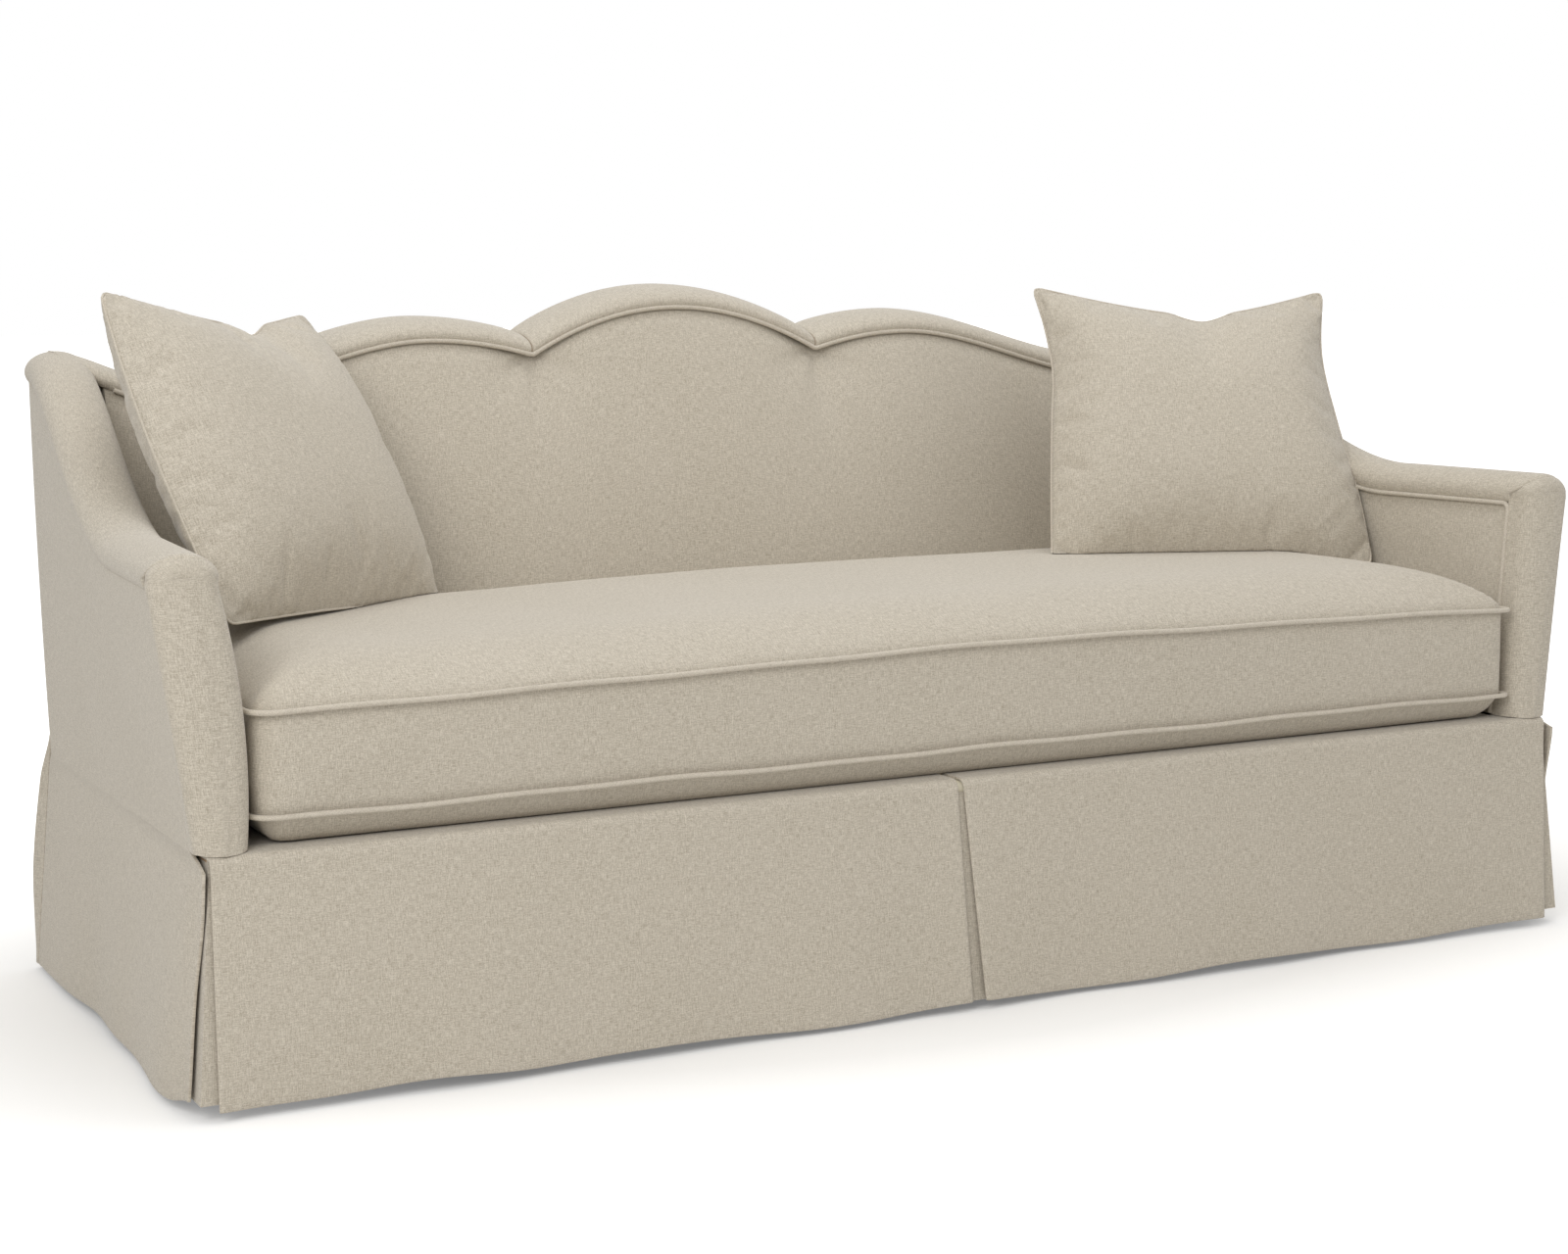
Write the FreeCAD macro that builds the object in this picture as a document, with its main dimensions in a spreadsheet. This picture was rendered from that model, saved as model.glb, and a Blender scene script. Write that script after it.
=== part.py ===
# Three-seat sofa with a humped back, a bench cushion, two pillows and a full-length skirt.
# Frame: X along the sofa's width, the front faces -Y, Z is up, the floor is z = 0.
import FreeCAD, Part
import math
import os
import Sketcher
from types import SimpleNamespace
from FreeCAD import Placement, Rotation, Vector

os.makedirs("parts", exist_ok=True)
doc = FreeCAD.newDocument("sofa")

# Driving sizes, in millimetres and degrees
SIZES = [
    ("seat_width", 1930, "clear width between the arms at the front of the deck"),
    ("deck_height", 308, "top of the deck that the cushion lies on"),
    ("arm_front", 445.5, "front face of the arms, ahead of the origin"),
    ("back_base", 360.5, "rear face at deck height, behind the origin"),
    ("back_lean", 10.75, "lean of the rear face, degrees"),
    ("soft_clearance", 0.3, "gap round soft pieces"),
    ("seam_gap", 0.8, "gap where two curved covers meet at a seam"),
    ("rear_rail_setback", 12, "rear rail ahead of the rear face"),
    ("cloth_thickness", 4, "lined upholstery cloth"),
    ("underlay_thickness", 2, "cloth behind the pleats"),
    ("welt_diameter", 8, "covered piping"),
    ("welt_rise", 1.9, "piping of the back above its seam"),
    ("arm_splay", 47, "how far the arms draw in from front to rear"),
    ("arm_base_thickness", 61, "arm thickness at the deck"),
    ("arm_top_thickness", 75, "arm thickness under the roll"),
    ("arm_flare", 44, "outward lean of the arm's front, deck to roll"),
    ("arm_front_height", 658, "crest of the arm at its front"),
    ("arm_level_run", 290, "length of the arm's level top"),
    ("arm_rise_run", 590, "length over which the arm sweeps up"),
    ("arm_rise", 202, "height gained by the sweep"),
    ("arm_roll_height", 43, "padding above the arm's seams"),
    ("arm_facing_depth", 48, "padded front of the arm, front to back"),
    ("arm_facing_round", 20, "rounding of the padded front"),
    ("arm_pad", 18, "padding on the inside of the arm"),
    ("hump_height", 944, "crest of the back's middle hump"),
    ("valley_offset", 241, "valley beside the middle hump"),
    ("valley_height", 877, "height in that valley"),
    ("side_hump_offset", 405, "side hump from the middle"),
    ("side_hump_height", 901, "crest of the side humps"),
    ("dip_offset", 800, "low point beyond the side hump"),
    ("dip_height", 822, "height of that low point"),
    ("corner_offset", 945, "corner where the back meets the arm"),
    ("corner_height", 861, "height of the back at the corner"),
    ("border_depth", 112, "rolled border of the back, front to rear"),
    ("border_front_drop", 36, "front seam of the border below its crest"),
    ("border_rear_drop", 44, "rear seam of the border below its crest"),
    ("border_crest_setback", 32, "crest of the border ahead of the rear face"),
    ("back_face", 254, "front of the inside back above the deck, behind the origin"),
    ("back_face_break", 470, "height where the inside back starts to lean"),
    ("back_puff", 18, "swell of the inside back"),
    ("board_thickness", 32, "sawn hardwood boards"),
    ("back_board_thickness", 28, "boards of the back frame"),
    ("post_depth", 45, "arm and back posts, front to rear"),
    ("post_cover", 12, "padding in front of the arm posts"),
    ("back_post_margin", 128, "room behind the deck for the leaning back"),
    ("rail_height", 140, "seat rails"),
    ("front_rail_setback", 10, "front rail behind the arm's front face"),
    ("stretcher_height", 60, "cross boards under the springs"),
    ("stretcher_offset", 330, "side cross boards from the middle"),
    ("stretcher_width", 50, "cross boards, side to side"),
    ("stretcher_margin", 6, "centre cross board beyond the leg on each side"),
    ("corner_block_leg", 110, "corner blocks along each rail"),
    ("leg_top_radius", 26, "leg under the rail"),
    ("leg_foot_radius", 17, "leg at its foot"),
    ("leg_inset", 38, "leg centre inside the block's square corner"),
    ("glide_height", 4, "nylon glide under each leg"),
    ("glide_radius", 14, "glide"),
    ("leg_bolt_radius", 4, "hanger bolt in each leg"),
    ("leg_bolt_length", 90, "hanger bolt"),
    ("leg_bolt_depth", 40, "hanger bolt's length inside the leg"),
    ("bolt_fit", 0.1, "radial clearance of the hanger bolts"),
    ("spring_wire", 4, "sinuous spring wire"),
    ("spring_width", 56, "sinuous spring, side to side"),
    ("spring_bars", 20, "cross bars of each spring"),
    ("spring_end_inset", 10, "spring's end bar from the rail's inner face"),
    ("spring_count", 7, "springs side by side"),
    ("spring_field", 1560, "first spring to last"),
    ("clip_length", 14, "spring clip along the bar"),
    ("clip_width", 12, "spring clip across the bar"),
    ("clip_cover", 1.5, "clip metal over the wire"),
    ("clip_fit", 0.1, "gap between wire and clip"),
    ("layer_gap", 0.2, "gap between the layers of the deck"),
    ("insulator_thickness", 4, "felt over the springs"),
    ("deck_pad_thickness", 20, "deck pad"),
    ("deck_cloth", 2, "deck cloth"),
    ("deck_rear", 310, "rear edge of the deck, behind the origin"),
    ("front_lip_depth", 52, "cloth that turns from the skirt on to the deck"),
    ("nose_radius", 12, "rounded front edge of the deck"),
    ("skirt_top_reach", 5, "skirt ahead of the arms' front face at the deck"),
    ("skirt_hem_reach", 23, "skirt ahead of the arms' front face at the hem"),
    ("hem_height", 10, "skirt's hem above the floor"),
    ("side_hem_flare", 24, "side skirt's outward flare at the hem"),
    ("skirt_wave", 4, "depth of the front skirt's slow waves"),
    ("pleat_gap_top", 4, "half gap of the centre pleat at the deck"),
    ("pleat_gap_hem", 15, "half gap of the centre pleat at the hem"),
    ("pleat_drift", 18, "how far the centre pleat drifts sideways at the hem"),
    ("pleat_underlay_width", 190, "cloth behind the centre pleat"),
    ("pleat_gap", 0.5, "space between a pleat's cloth and its underlay"),
    ("corner_gap", 8, "front skirt's end inside the arm's outer face"),
    ("side_skirt_lead", 8, "side skirt ahead of the arm's front face"),
    ("corner_underlay_leg", 70, "corner underlay along each side"),
    ("corner_underlay_drop", 18, "corner underlay's top below the deck"),
    ("rear_skirt_top", 334, "top of the rear skirt"),
    ("rear_skirt_bulge", 34, "how far the rear skirt stands out half way down"),
    ("rear_skirt_bulge_height", 145, "height of that bulge"),
    ("rear_skirt_hem_reach", 24, "rear skirt's hem behind the rear face"),
    ("rear_skirt_lap", 12, "outside back tucked in behind the rear skirt"),
    ("dust_cloth", 1.2, "cambric under the rails"),
    ("dust_cover_inset", 15, "cambric's edge inside the rails' outer faces"),
    ("rail_wood_under_seam", 60, "height of the arm's top board"),
    ("tack_rail_height", 60, "lower boards of the arms and back"),
    ("tack_rail_lift", 22, "lower boards above the deck"),
    ("top_rail_bottom", 700, "lower edge of the scalloped top board"),
    ("upright_width", 50, "inner uprights of the back"),
    ("upright_offset", 300, "inner uprights from the middle"),
    ("webbing_width", 60, "elastic webbing"),
    ("webbing_thickness", 2, "elastic webbing"),
    ("webbing_count", 9, "strips of webbing"),
    ("webbing_field", 1560, "first strip to last"),
    ("webbing_lap", 40, "webbing over each board"),
    ("cushion_side_gap", 16, "cushion's boxing from the arm at the front"),
    ("cushion_rear_draw", 5, "how much more than the arms the cushion draws in, front to rear"),
    ("cushion_front_setback", 10, "cushion's front behind the arm's front face"),
    ("cushion_rear_gap", 14, "cushion's rear boxing ahead of the inside back"),
    ("cushion_boxing_base", 37, "lower welt above the deck"),
    ("cushion_boxing", 125, "lower welt to upper welt"),
    ("cushion_crown", 60, "crown above the upper welt"),
    ("cushion_shoulder", 130, "width of the crown's rounded shoulder"),
    ("cushion_tuck", 26, "how far the lower edge draws in"),
    ("cushion_side_swell", 3, "swell of the boxing"),
    ("cushion_cloth", 2, "cushion cover"),
    ("zipper_length", 1400, "zipper in the cushion's rear boxing"),
    ("zipper_tape_height", 26, "zipper tape"),
    ("zipper_tape_thickness", 1.2, "zipper tape"),
    ("zipper_slider_length", 14, "slider along the zipper"),
    ("zipper_slider_height", 10, "slider"),
    ("zipper_slider_depth", 4, "slider"),
    ("zipper_tab_length", 24, "pull tab"),
    ("zipper_tab_thickness", 1.5, "pull tab"),
    ("zipper_tab_width", 6, "pull tab"),
    ("pillow_width", 490, "pillow from side to side"),
    ("pillow_height", 470, "pillow from seam to seam"),
    ("pillow_thickness", 150, "pillow at its fullest"),
    ("pillow_edge", 5, "thickness of the pillow's knife edge"),
    ("pillow_ear_drop", 34, "upper edge drawn in between the corners"),
    ("pillow_chop", 26, "dent in the middle of the upper edge"),
    ("pillow_chop_width", 150, "width of the dent"),
    ("pillow_base_drop", 8, "lower edge drawn in between the corners"),
    ("pillow_cloth", 2, "pillow cover"),
    ("pillow_seam", 12, "seam allowance round the insert"),
    ("pillow_lean", 30, "pillow's lean from upright, degrees"),
    ("pillow_right_gap", 42, "right pillow's lower corner from the arm's line at the front"),
    ("pillow_right_y", 62, "middle of its lower edge, ahead of the origin"),
    ("pillow_right_turn", 20.4, "right pillow's turn to the middle, degrees"),
    ("pillow_right_roll", 1.2, "right pillow's clockwise tilt, degrees"),
    ("pillow_left_gap", 99.6, "left pillow's lower corner from the arm's line at the front"),
    ("pillow_left_y", 2, "middle of its lower edge, ahead of the origin"),
    ("pillow_left_turn", 39, "left pillow's turn to the middle, degrees"),
    ("pillow_left_roll", 4.3, "left pillow's clockwise tilt, degrees"),
]

# Sizes worked out from the driving ones, as formulas of the sheet
DERIVED = [
    ("arm_length", "arm_front + back_base"),
    ("clip_top", "deck_height - deck_cloth - deck_pad_thickness - insulator_thickness - 3 * layer_gap"),
    ("rail_top", "clip_top - clip_cover - spring_wire"),
    ("rail_base", "rail_top - rail_height"),
    ("front_rail_length", "seat_width + 2 * (arm_pad + board_thickness)"),
    ("back_rail_length", "front_rail_length - 2 * arm_splay"),
    ("rail_bay", "arm_front - front_rail_setback + back_base - rear_rail_setback - 2 * board_thickness"),
    ("leg_height", "rail_base - glide_height"),
    ("centre_stretcher_width", "2 * leg_top_radius + 2 * stretcher_margin"),
]

sheet = doc.addObject("Spreadsheet::Sheet", "Sizes")
for row, (alias, value, note) in enumerate(SIZES, start=1):
    sheet.set(f"A{row}", alias)
    sheet.set(f"B{row}", str(value))
    sheet.set(f"C{row}", note)
    sheet.setAlias(f"B{row}", alias)
for row, (alias, formula) in enumerate(DERIVED, start=len(SIZES) + 1):
    sheet.set(f"A{row}", alias)
    sheet.set(f"B{row}", "=" + formula)
    sheet.setAlias(f"B{row}", alias)
    doc.recompute()
S = SimpleNamespace(**{entry[0]: float(sheet.get(entry[0])) for entry in SIZES + DERIVED})

HALF_SEAT = S.seat_width / 2
WELT_RADIUS = S.welt_diameter / 2
WELT_STANDOFF = WELT_RADIUS + S.soft_clearance
WELT_CORNER_SHARE = 1.06
DIAGONAL = math.sqrt(0.5)
nodes = []


# Shape helpers
def line(start, end):
    return Part.LineSegment(start, end).toShape()


def arc(start, middle, end):
    return Part.Arc(start, middle, end).toShape()


def polygon(points):
    return Part.makePolygon(points + points[:1])


def loft(wires, ruled=True):
    return Part.makeLoft(wires, True, ruled)


def spread(start, end, count):
    """Evenly spaced places from start to end."""
    return [start + (end - start) * index / (count - 1) for index in range(count)]


def ease(share):
    """A slow start and a slow end, from 0 to 1."""
    share = min(1, max(0, share))
    return share * share * (3 - 2 * share)


def keep(node, label, shape, placement=None):
    """A sub-part whose shape comes from lofts, with its own label and placement."""
    piece = doc.addObject("Part::Feature", node)
    piece.Label = label
    piece.Shape = shape
    piece.Placement = placement or Placement()
    nodes.append(piece)
    return piece


def mirrored(source, label):
    """The same piece on the sofa's other side."""
    piece = doc.addObject("Part::Mirroring", label)
    piece.Label = label
    piece.Source = source
    piece.Normal = Vector(1, 0, 0)
    nodes.append(piece)
    return piece


def origin_plane(body, role):
    return next(feature for feature in body.Origin.OriginFeatures if feature.Role == role)


def sketch_on(body, name, role="XY_Plane"):
    sketch = body.newObject("Sketcher::SketchObject", name)
    sketch.AttachmentSupport = [(origin_plane(body, role), "")]
    sketch.MapMode = "FlatFace"
    return sketch


def rectangle(sketch, across, deep):
    """A rectangle centred on the sketch's origin, its sides bound to the sheet."""
    corners = [Vector(-1, -1, 0), Vector(1, -1, 0), Vector(1, 1, 0), Vector(-1, 1, 0)]
    scale = [Vector(corner.x * S.board_thickness, corner.y * S.board_thickness, 0) for corner in corners]
    for index in range(4):
        sketch.addGeometry(Part.LineSegment(scale[index], scale[(index + 1) % 4]), False)
    for index in range(4):
        sketch.addConstraint(Sketcher.Constraint("Coincident", index, 2, (index + 1) % 4, 1))
    for index in (0, 2):
        sketch.addConstraint(Sketcher.Constraint("Horizontal", index))
    for index in (1, 3):
        sketch.addConstraint(Sketcher.Constraint("Vertical", index))
    sketch.addConstraint(Sketcher.Constraint("Symmetric", 0, 1, 1, 2, -1, 1))
    side = sketch.addConstraint(Sketcher.Constraint("DistanceX", 0, 1, 0, 2, S.board_thickness))
    sketch.renameConstraint(side, "across")
    depth = sketch.addConstraint(Sketcher.Constraint("DistanceY", 1, 1, 1, 2, S.board_thickness))
    sketch.renameConstraint(depth, "deep")
    sketch.setExpression("Constraints.across", across)
    sketch.setExpression("Constraints.deep", deep)


def board(label, across, deep, high, place):
    """A sawn board: a rectangle padded upwards, its three sizes bound to the sheet."""
    body = doc.addObject("PartDesign::Body", label)
    body.Label = label
    sketch = sketch_on(body, label + "_outline")
    rectangle(sketch, across, deep)
    pad = body.newObject("PartDesign::Pad", label + "_pad")
    pad.Profile = sketch
    pad.setExpression("Length", high)
    sketch.Visibility = False
    body.Placement = Placement(place, Rotation())
    return body


def group(label, pieces):
    """Identical pieces in one node, each a separate solid."""
    compound = doc.addObject("Part::Compound", label)
    compound.Label = label
    compound.Links = pieces
    nodes.append(compound)
    return compound


# The arm's form: every arm piece reads these lines
def rear_face(z):
    """Rear face of the leaning back at a height."""
    return S.back_base + math.tan(math.radians(S.back_lean)) * (z - S.deck_height)


def arm_share(y):
    return (y + S.arm_front) / S.arm_length


def arm_crest(y):
    start = S.arm_level_run - S.arm_front
    return S.arm_front_height + S.arm_rise * ease((y - start) / S.arm_rise_run)


def arm_seam(y):
    return arm_crest(y) - S.arm_roll_height


FRONT_SEAM = S.arm_front_height - S.arm_roll_height


def arm_outer(y, z):
    """Outer face of the arm: upright below the deck, leaning out above it."""
    climb = max(0, z - S.deck_height) / (FRONT_SEAM - S.deck_height)
    lean = S.arm_flare * (1 - arm_share(y)) * climb
    return HALF_SEAT + S.arm_base_thickness - S.arm_splay * arm_share(y) + lean


def arm_inner(y, z):
    climb = min(1, max(0, z - S.deck_height) / (arm_seam(y) - S.deck_height))
    growth = (S.arm_top_thickness - S.arm_base_thickness) * climb
    return arm_outer(y, z) - S.arm_base_thickness - growth


def wood_inner(y, z):
    """Inner face of the arm's boards, behind the inside padding."""
    return arm_inner(y, z) + S.arm_pad + S.soft_clearance


def half_round(inner, outer, y, base, crest):
    """Two quarter arcs from the outer edge over the crest to the inner edge."""
    middle = (inner + outer) / 2
    half = (outer - inner) / 2
    shoulder = base + (crest - base) * DIAGONAL
    top = Vector(middle, y, crest)
    over = arc(Vector(outer, y, base), Vector(middle + half * DIAGONAL, y, shoulder), top)
    down = arc(top, Vector(middle - half * DIAGONAL, y, shoulder), Vector(inner, y, base))
    return [over, down]


def roll_section(y, grow=0):
    base = arm_seam(y) - grow
    inner = arm_inner(y, arm_seam(y)) - grow
    outer = arm_outer(y, arm_seam(y)) + grow
    sill = line(Vector(inner, y, base), Vector(outer, y, base))
    return Part.Wire([sill] + half_round(inner, outer, y, base, arm_crest(y) + grow))


def facing_section(y, inset):
    base = S.deck_height + S.soft_clearance
    seam = arm_seam(y)
    low_inner = Vector(arm_inner(y, base) + inset, y, base)
    low_outer = Vector(arm_outer(y, base) - inset, y, base)
    inner = arm_inner(y, seam) + inset
    outer = arm_outer(y, seam) - inset
    sides = [line(low_inner, low_outer), line(low_outer, Vector(outer, y, seam))]
    top = half_round(inner, outer, y, seam, arm_crest(y) - inset)
    return Part.Wire(sides + top + [line(Vector(inner, y, seam), low_inner)])


def upright_section(z, near, far, inner, outer):
    """A level rectangle at height z."""
    corners = [(inner(near, z), near), (outer(near, z), near), (outer(far, z), far), (inner(far, z), far)]
    return polygon([Vector(x, y, z) for x, y in corners])


def board_outer(y, z):
    return wood_inner(y, z) + S.board_thickness


def rear_cutter(offset):
    """Everything behind the leaning rear face, moved forward by offset."""
    top = S.hump_height + S.arm_roll_height
    far = S.back_base + S.arm_front
    foot = rear_face(S.deck_height) - offset
    outline = [Vector(0, foot, -S.deck_height), Vector(0, foot, S.deck_height)]
    outline += [Vector(0, rear_face(top) - offset, top), Vector(0, far, top), Vector(0, far, -S.deck_height)]
    return Part.Face(polygon(outline)).extrude(Vector(S.seat_width, 0, 0))


def block(low, high):
    size = high - low
    return Part.makeBox(size.x, size.y, size.z, low)


FACING_REAR = S.arm_facing_depth - S.arm_front
POST_FRONT = S.post_cover - S.arm_front
POST_REAR = POST_FRONT + S.post_depth
BACK_POST_FRONT = S.cloth_thickness + 2 * S.soft_clearance + S.post_depth
ARM_REACH = S.back_base + S.back_post_margin


# Arm boards
def arm_post_shape(grow=0):
    def inner(y, z):
        return wood_inner(y, z) - grow

    def outer(y, z):
        return board_outer(y, z) + grow

    top = arm_seam(POST_REAR) - S.cloth_thickness + grow
    near, far = POST_FRONT - grow, POST_REAR + grow
    return loft([upright_section(z, near, far, inner, outer) for z in (S.rail_top, S.deck_height, top)])


ROLL_STATIONS = spread(FACING_REAR + S.soft_clearance, ARM_REACH, 11)


def arm_board(low, high):
    """A board that follows the arm from its post to the back post; low and high give its edges."""
    def section(y):
        bottom, top = low(y), high(y)
        corners = [(wood_inner(y, bottom), bottom), (board_outer(y, bottom), bottom)]
        corners += [(board_outer(y, top), top), (wood_inner(y, top), top)]
        return polygon([Vector(x, y, z) for x, z in corners])

    ahead = block(
        Vector(HALF_SEAT - S.arm_splay, -S.arm_front, 0),
        Vector(HALF_SEAT + 2 * S.arm_base_thickness + S.arm_flare, POST_REAR, S.hump_height),
    )
    shape = loft([section(y) for y in ROLL_STATIONS], ruled=False)
    return shape.cut(ahead).cut(rear_cutter(BACK_POST_FRONT))


TACK_BASE = S.deck_height + S.tack_rail_lift
TACK_TOP = TACK_BASE + S.tack_rail_height
post = keep("ArmPost", "arm_post_right", arm_post_shape())
mirrored(post, "arm_post_left")
top_board = arm_board(
    lambda y: arm_seam(y) - S.rail_wood_under_seam,
    lambda y: arm_seam(y) - 2 * S.seam_gap,
)
mirrored(keep("ArmTopRail", "arm_top_rail_right", top_board), "arm_top_rail_left")
low_board = arm_board(lambda y: TACK_BASE, lambda y: TACK_TOP)
left_board = low_board.mirror(Vector(0, 0, 0), Vector(1, 0, 0))
keep("ArmTackRails", "arm_tack_rails", Part.makeCompound([low_board, left_board]))


# Padding and covers of the arm
def arm_facing_shape():
    angles = [math.radians(angle) for angle in spread(0, 90, 4)]
    reach = S.arm_facing_round
    places = [(FACING_REAR, 0)]
    places += [(reach * (1 - math.sin(a)) - S.arm_front, reach * (1 - math.cos(a))) for a in angles]
    padded = loft([facing_section(y, inset) for y, inset in places])
    return padded.cut(arm_post_shape(S.soft_clearance))


def inside_arm_section(y):
    base = S.rail_top + S.soft_clearance
    top = arm_seam(y) - S.soft_clearance
    inner = [(arm_inner(y, S.deck_height), base), (arm_inner(y, S.deck_height), S.deck_height)]
    inner += [(arm_inner(y, top), top)]
    outer = [(x + S.arm_pad, z) for x, z in reversed(inner)]
    return polygon([Vector(x, y, z) for x, z in inner + outer])


def outside_arm_section(y):
    top = arm_seam(y) - S.soft_clearance
    base = arm_outer(y, S.deck_height)
    outer = [(arm_outer(y, top), top), (base, S.deck_height), (base + S.side_hem_flare, S.hem_height)]
    inner = [(x - S.cloth_thickness, z) for x, z in reversed(outer)]
    return polygon([Vector(x, y, z) for x, z in outer + inner])


def arm_roll_shape(grow=0):
    shape = loft([roll_section(y, grow) for y in ROLL_STATIONS], ruled=False)
    return shape.cut(rear_cutter(-grow))


def outside_arm_shape():
    lead = -S.arm_front - S.side_skirt_lead
    stations = [lead] + ROLL_STATIONS
    panel = loft([outside_arm_section(y) for y in stations], ruled=False)
    ahead = block(
        Vector(HALF_SEAT, lead - S.arm_pad, S.deck_height),
        Vector(HALF_SEAT + 2 * S.arm_base_thickness + S.arm_flare, FACING_REAR + S.soft_clearance, S.hump_height),
    )
    return panel.cut(ahead).cut(rear_cutter(S.cloth_thickness + S.soft_clearance))


def arm_welt_shape():
    def centre(y, z):
        return arm_inner(y, z) - WELT_RADIUS - S.seam_gap

    def ring(y, z, normal):
        return Part.Wire(Part.Circle(Vector(centre(y, z), y, z), normal, WELT_RADIUS).toShape())

    corner = FACING_REAR + S.soft_clearance / 2
    top = arm_seam(corner)
    foot = S.deck_height + WELT_RADIUS
    reach = S.back_face + S.border_depth / 2
    run = loft([ring(y, arm_seam(y), Vector(0, 1, 0)) for y in spread(corner, reach, 17)])
    drop = loft([ring(corner, z, Vector(0, 0, 1)) for z in (foot, top)])
    turn = Part.makeSphere(WELT_RADIUS * WELT_CORNER_SHARE, Vector(centre(corner, top), corner, top))
    return run.fuse([drop, turn])


inside_arm = loft([inside_arm_section(y) for y in ROLL_STATIONS], ruled=False)
inside_arm = inside_arm.cut(rear_cutter(S.border_depth - S.nose_radius))
arm_pieces = [
    ("ArmFacing", "arm_facing", arm_facing_shape()),
    ("ArmRoll", "arm_roll", arm_roll_shape()),
    ("InsideArm", "inside_arm", inside_arm),
    ("OutsideArm", "outside_arm", outside_arm_shape()),
    ("ArmWelt", "arm_welt", arm_welt_shape()),
]
for name, label, shape in arm_pieces:
    mirrored(keep(name, label + "_right", shape), label + "_left")


# The back's form: every back piece reads these lines
def scallop(reach):
    """Height of the back's scalloped crest at this distance from the middle."""
    if reach <= S.valley_offset:
        return S.hump_height - (S.hump_height - S.valley_height) * (reach / S.valley_offset) ** 2
    if reach <= S.side_hump_offset:
        share = (S.side_hump_offset - reach) / (S.side_hump_offset - S.valley_offset)
        return S.side_hump_height - (S.side_hump_height - S.valley_height) * share ** 2
    if reach <= S.dip_offset:
        share = (reach - S.side_hump_offset) / (S.dip_offset - S.side_hump_offset)
        return S.side_hump_height + (S.dip_height - S.side_hump_height) * ease(share)
    share = (reach - S.dip_offset) / (S.corner_offset - S.dip_offset)
    return S.dip_height + (S.corner_height - S.dip_height) * ease(share)


def crest_places():
    """Distances from the middle, close together at the humps, valleys and dips."""
    between = [
        (0, S.valley_offset, 5),
        (S.valley_offset, S.side_hump_offset, 4),
        (S.side_hump_offset, S.dip_offset, 5),
        (S.dip_offset, S.corner_offset, 4),
    ]
    places = [0]
    for start, end, count in between:
        places += spread(start, end, count)[1:]
    return places


CREST = [(reach, scallop(reach)) for reach in crest_places()]


def ridge(x):
    """Height of the crest at x, straight between the places where it is set out."""
    for (start, low), (end, high) in zip(CREST, CREST[1:]):
        if abs(x) <= end:
            return low + (high - low) * (abs(x) - start) / (end - start)
    return S.corner_height


def across_back(reach):
    """The crest's places on both sides, out to reach."""
    half = [place for place, height in CREST if place < reach - S.cloth_thickness] + [reach]
    return [-x for x in reversed(half[1:])] + half


def border_front(x):
    return rear_face(ridge(x)) - S.border_depth


def border_section(x):
    crest = ridge(x)
    front = Vector(x, border_front(x), crest - S.border_front_drop)
    top = Vector(x, rear_face(crest) - S.border_crest_setback, crest)
    low = crest - S.border_rear_drop
    rear = Vector(x, rear_face(low), low)
    over_front = Vector(x, front.y + (top.y - front.y) * (1 - DIAGONAL), front.z + (top.z - front.z) * DIAGONAL)
    over_rear = Vector(x, top.y + (rear.y - top.y) * DIAGONAL, rear.z + (top.z - rear.z) * DIAGONAL)
    return Part.Wire([arc(front, over_front, top), arc(top, over_rear, rear), line(rear, front)])


BORDER_REACH = arm_outer(S.back_base, S.corner_height) - S.arm_top_thickness / 2
WOOD_REAR = S.cloth_thickness + 2 * S.soft_clearance
WOOD_FRONT = WOOD_REAR + S.back_board_thickness
PAD_REAR = WOOD_FRONT + S.webbing_thickness + 2 * S.soft_clearance

border = loft([border_section(x) for x in across_back(BORDER_REACH)])
right_roll = arm_roll_shape(S.soft_clearance)
both_rolls = [right_roll, right_roll.mirror(Vector(0, 0, 0), Vector(1, 0, 0))]
keep("BackBorder", "back_border_roll", border.cut(both_rolls))

INSIDE_BACK_FOOT = arm_inner(S.back_base, S.deck_height) - S.soft_clearance
INSIDE_BACK_TOP = arm_inner(rear_face(S.corner_height), S.corner_height) - S.seam_gap
END_SWELL_SHARE = 0.2


def inside_back_section(x):
    """One upright slice of the puffed inside back at x on its brim; the slices fan with the arms' lean."""
    share = x / INSIDE_BACK_TOP
    top = ridge(x) - S.border_front_drop - S.seam_gap
    base = S.deck_height + S.soft_clearance

    def place(y, z):
        climb = (z - S.deck_height) / (top - S.deck_height)
        return Vector(share * (INSIDE_BACK_FOOT + (INSIDE_BACK_TOP - INSIDE_BACK_FOOT) * climb), y, z)

    swell = S.back_puff * min(1, END_SWELL_SHARE + (1 - abs(share)) * S.back_base / S.border_depth)
    middle = (S.back_face_break + top) / 2
    full = place((S.back_face + border_front(x)) / 2 - swell, middle)
    foot, bend, brim = place(S.back_face, base), place(S.back_face, S.back_face_break), place(border_front(x), top)
    shoulder = top - S.border_rear_drop + S.border_front_drop - S.seam_gap
    rear_top = place(rear_face(shoulder) - PAD_REAR, shoulder)
    rear_foot = place(rear_face(base) - PAD_REAR, base)
    edges = [line(foot, bend), arc(bend, full, brim), line(brim, rear_top)]
    return Part.Wire(edges + [line(rear_top, rear_foot), line(rear_foot, foot)])


inside_back_stations = across_back(INSIDE_BACK_TOP)
keep("InsideBack", "inside_back", loft([inside_back_section(x) for x in inside_back_stations]))


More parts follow.
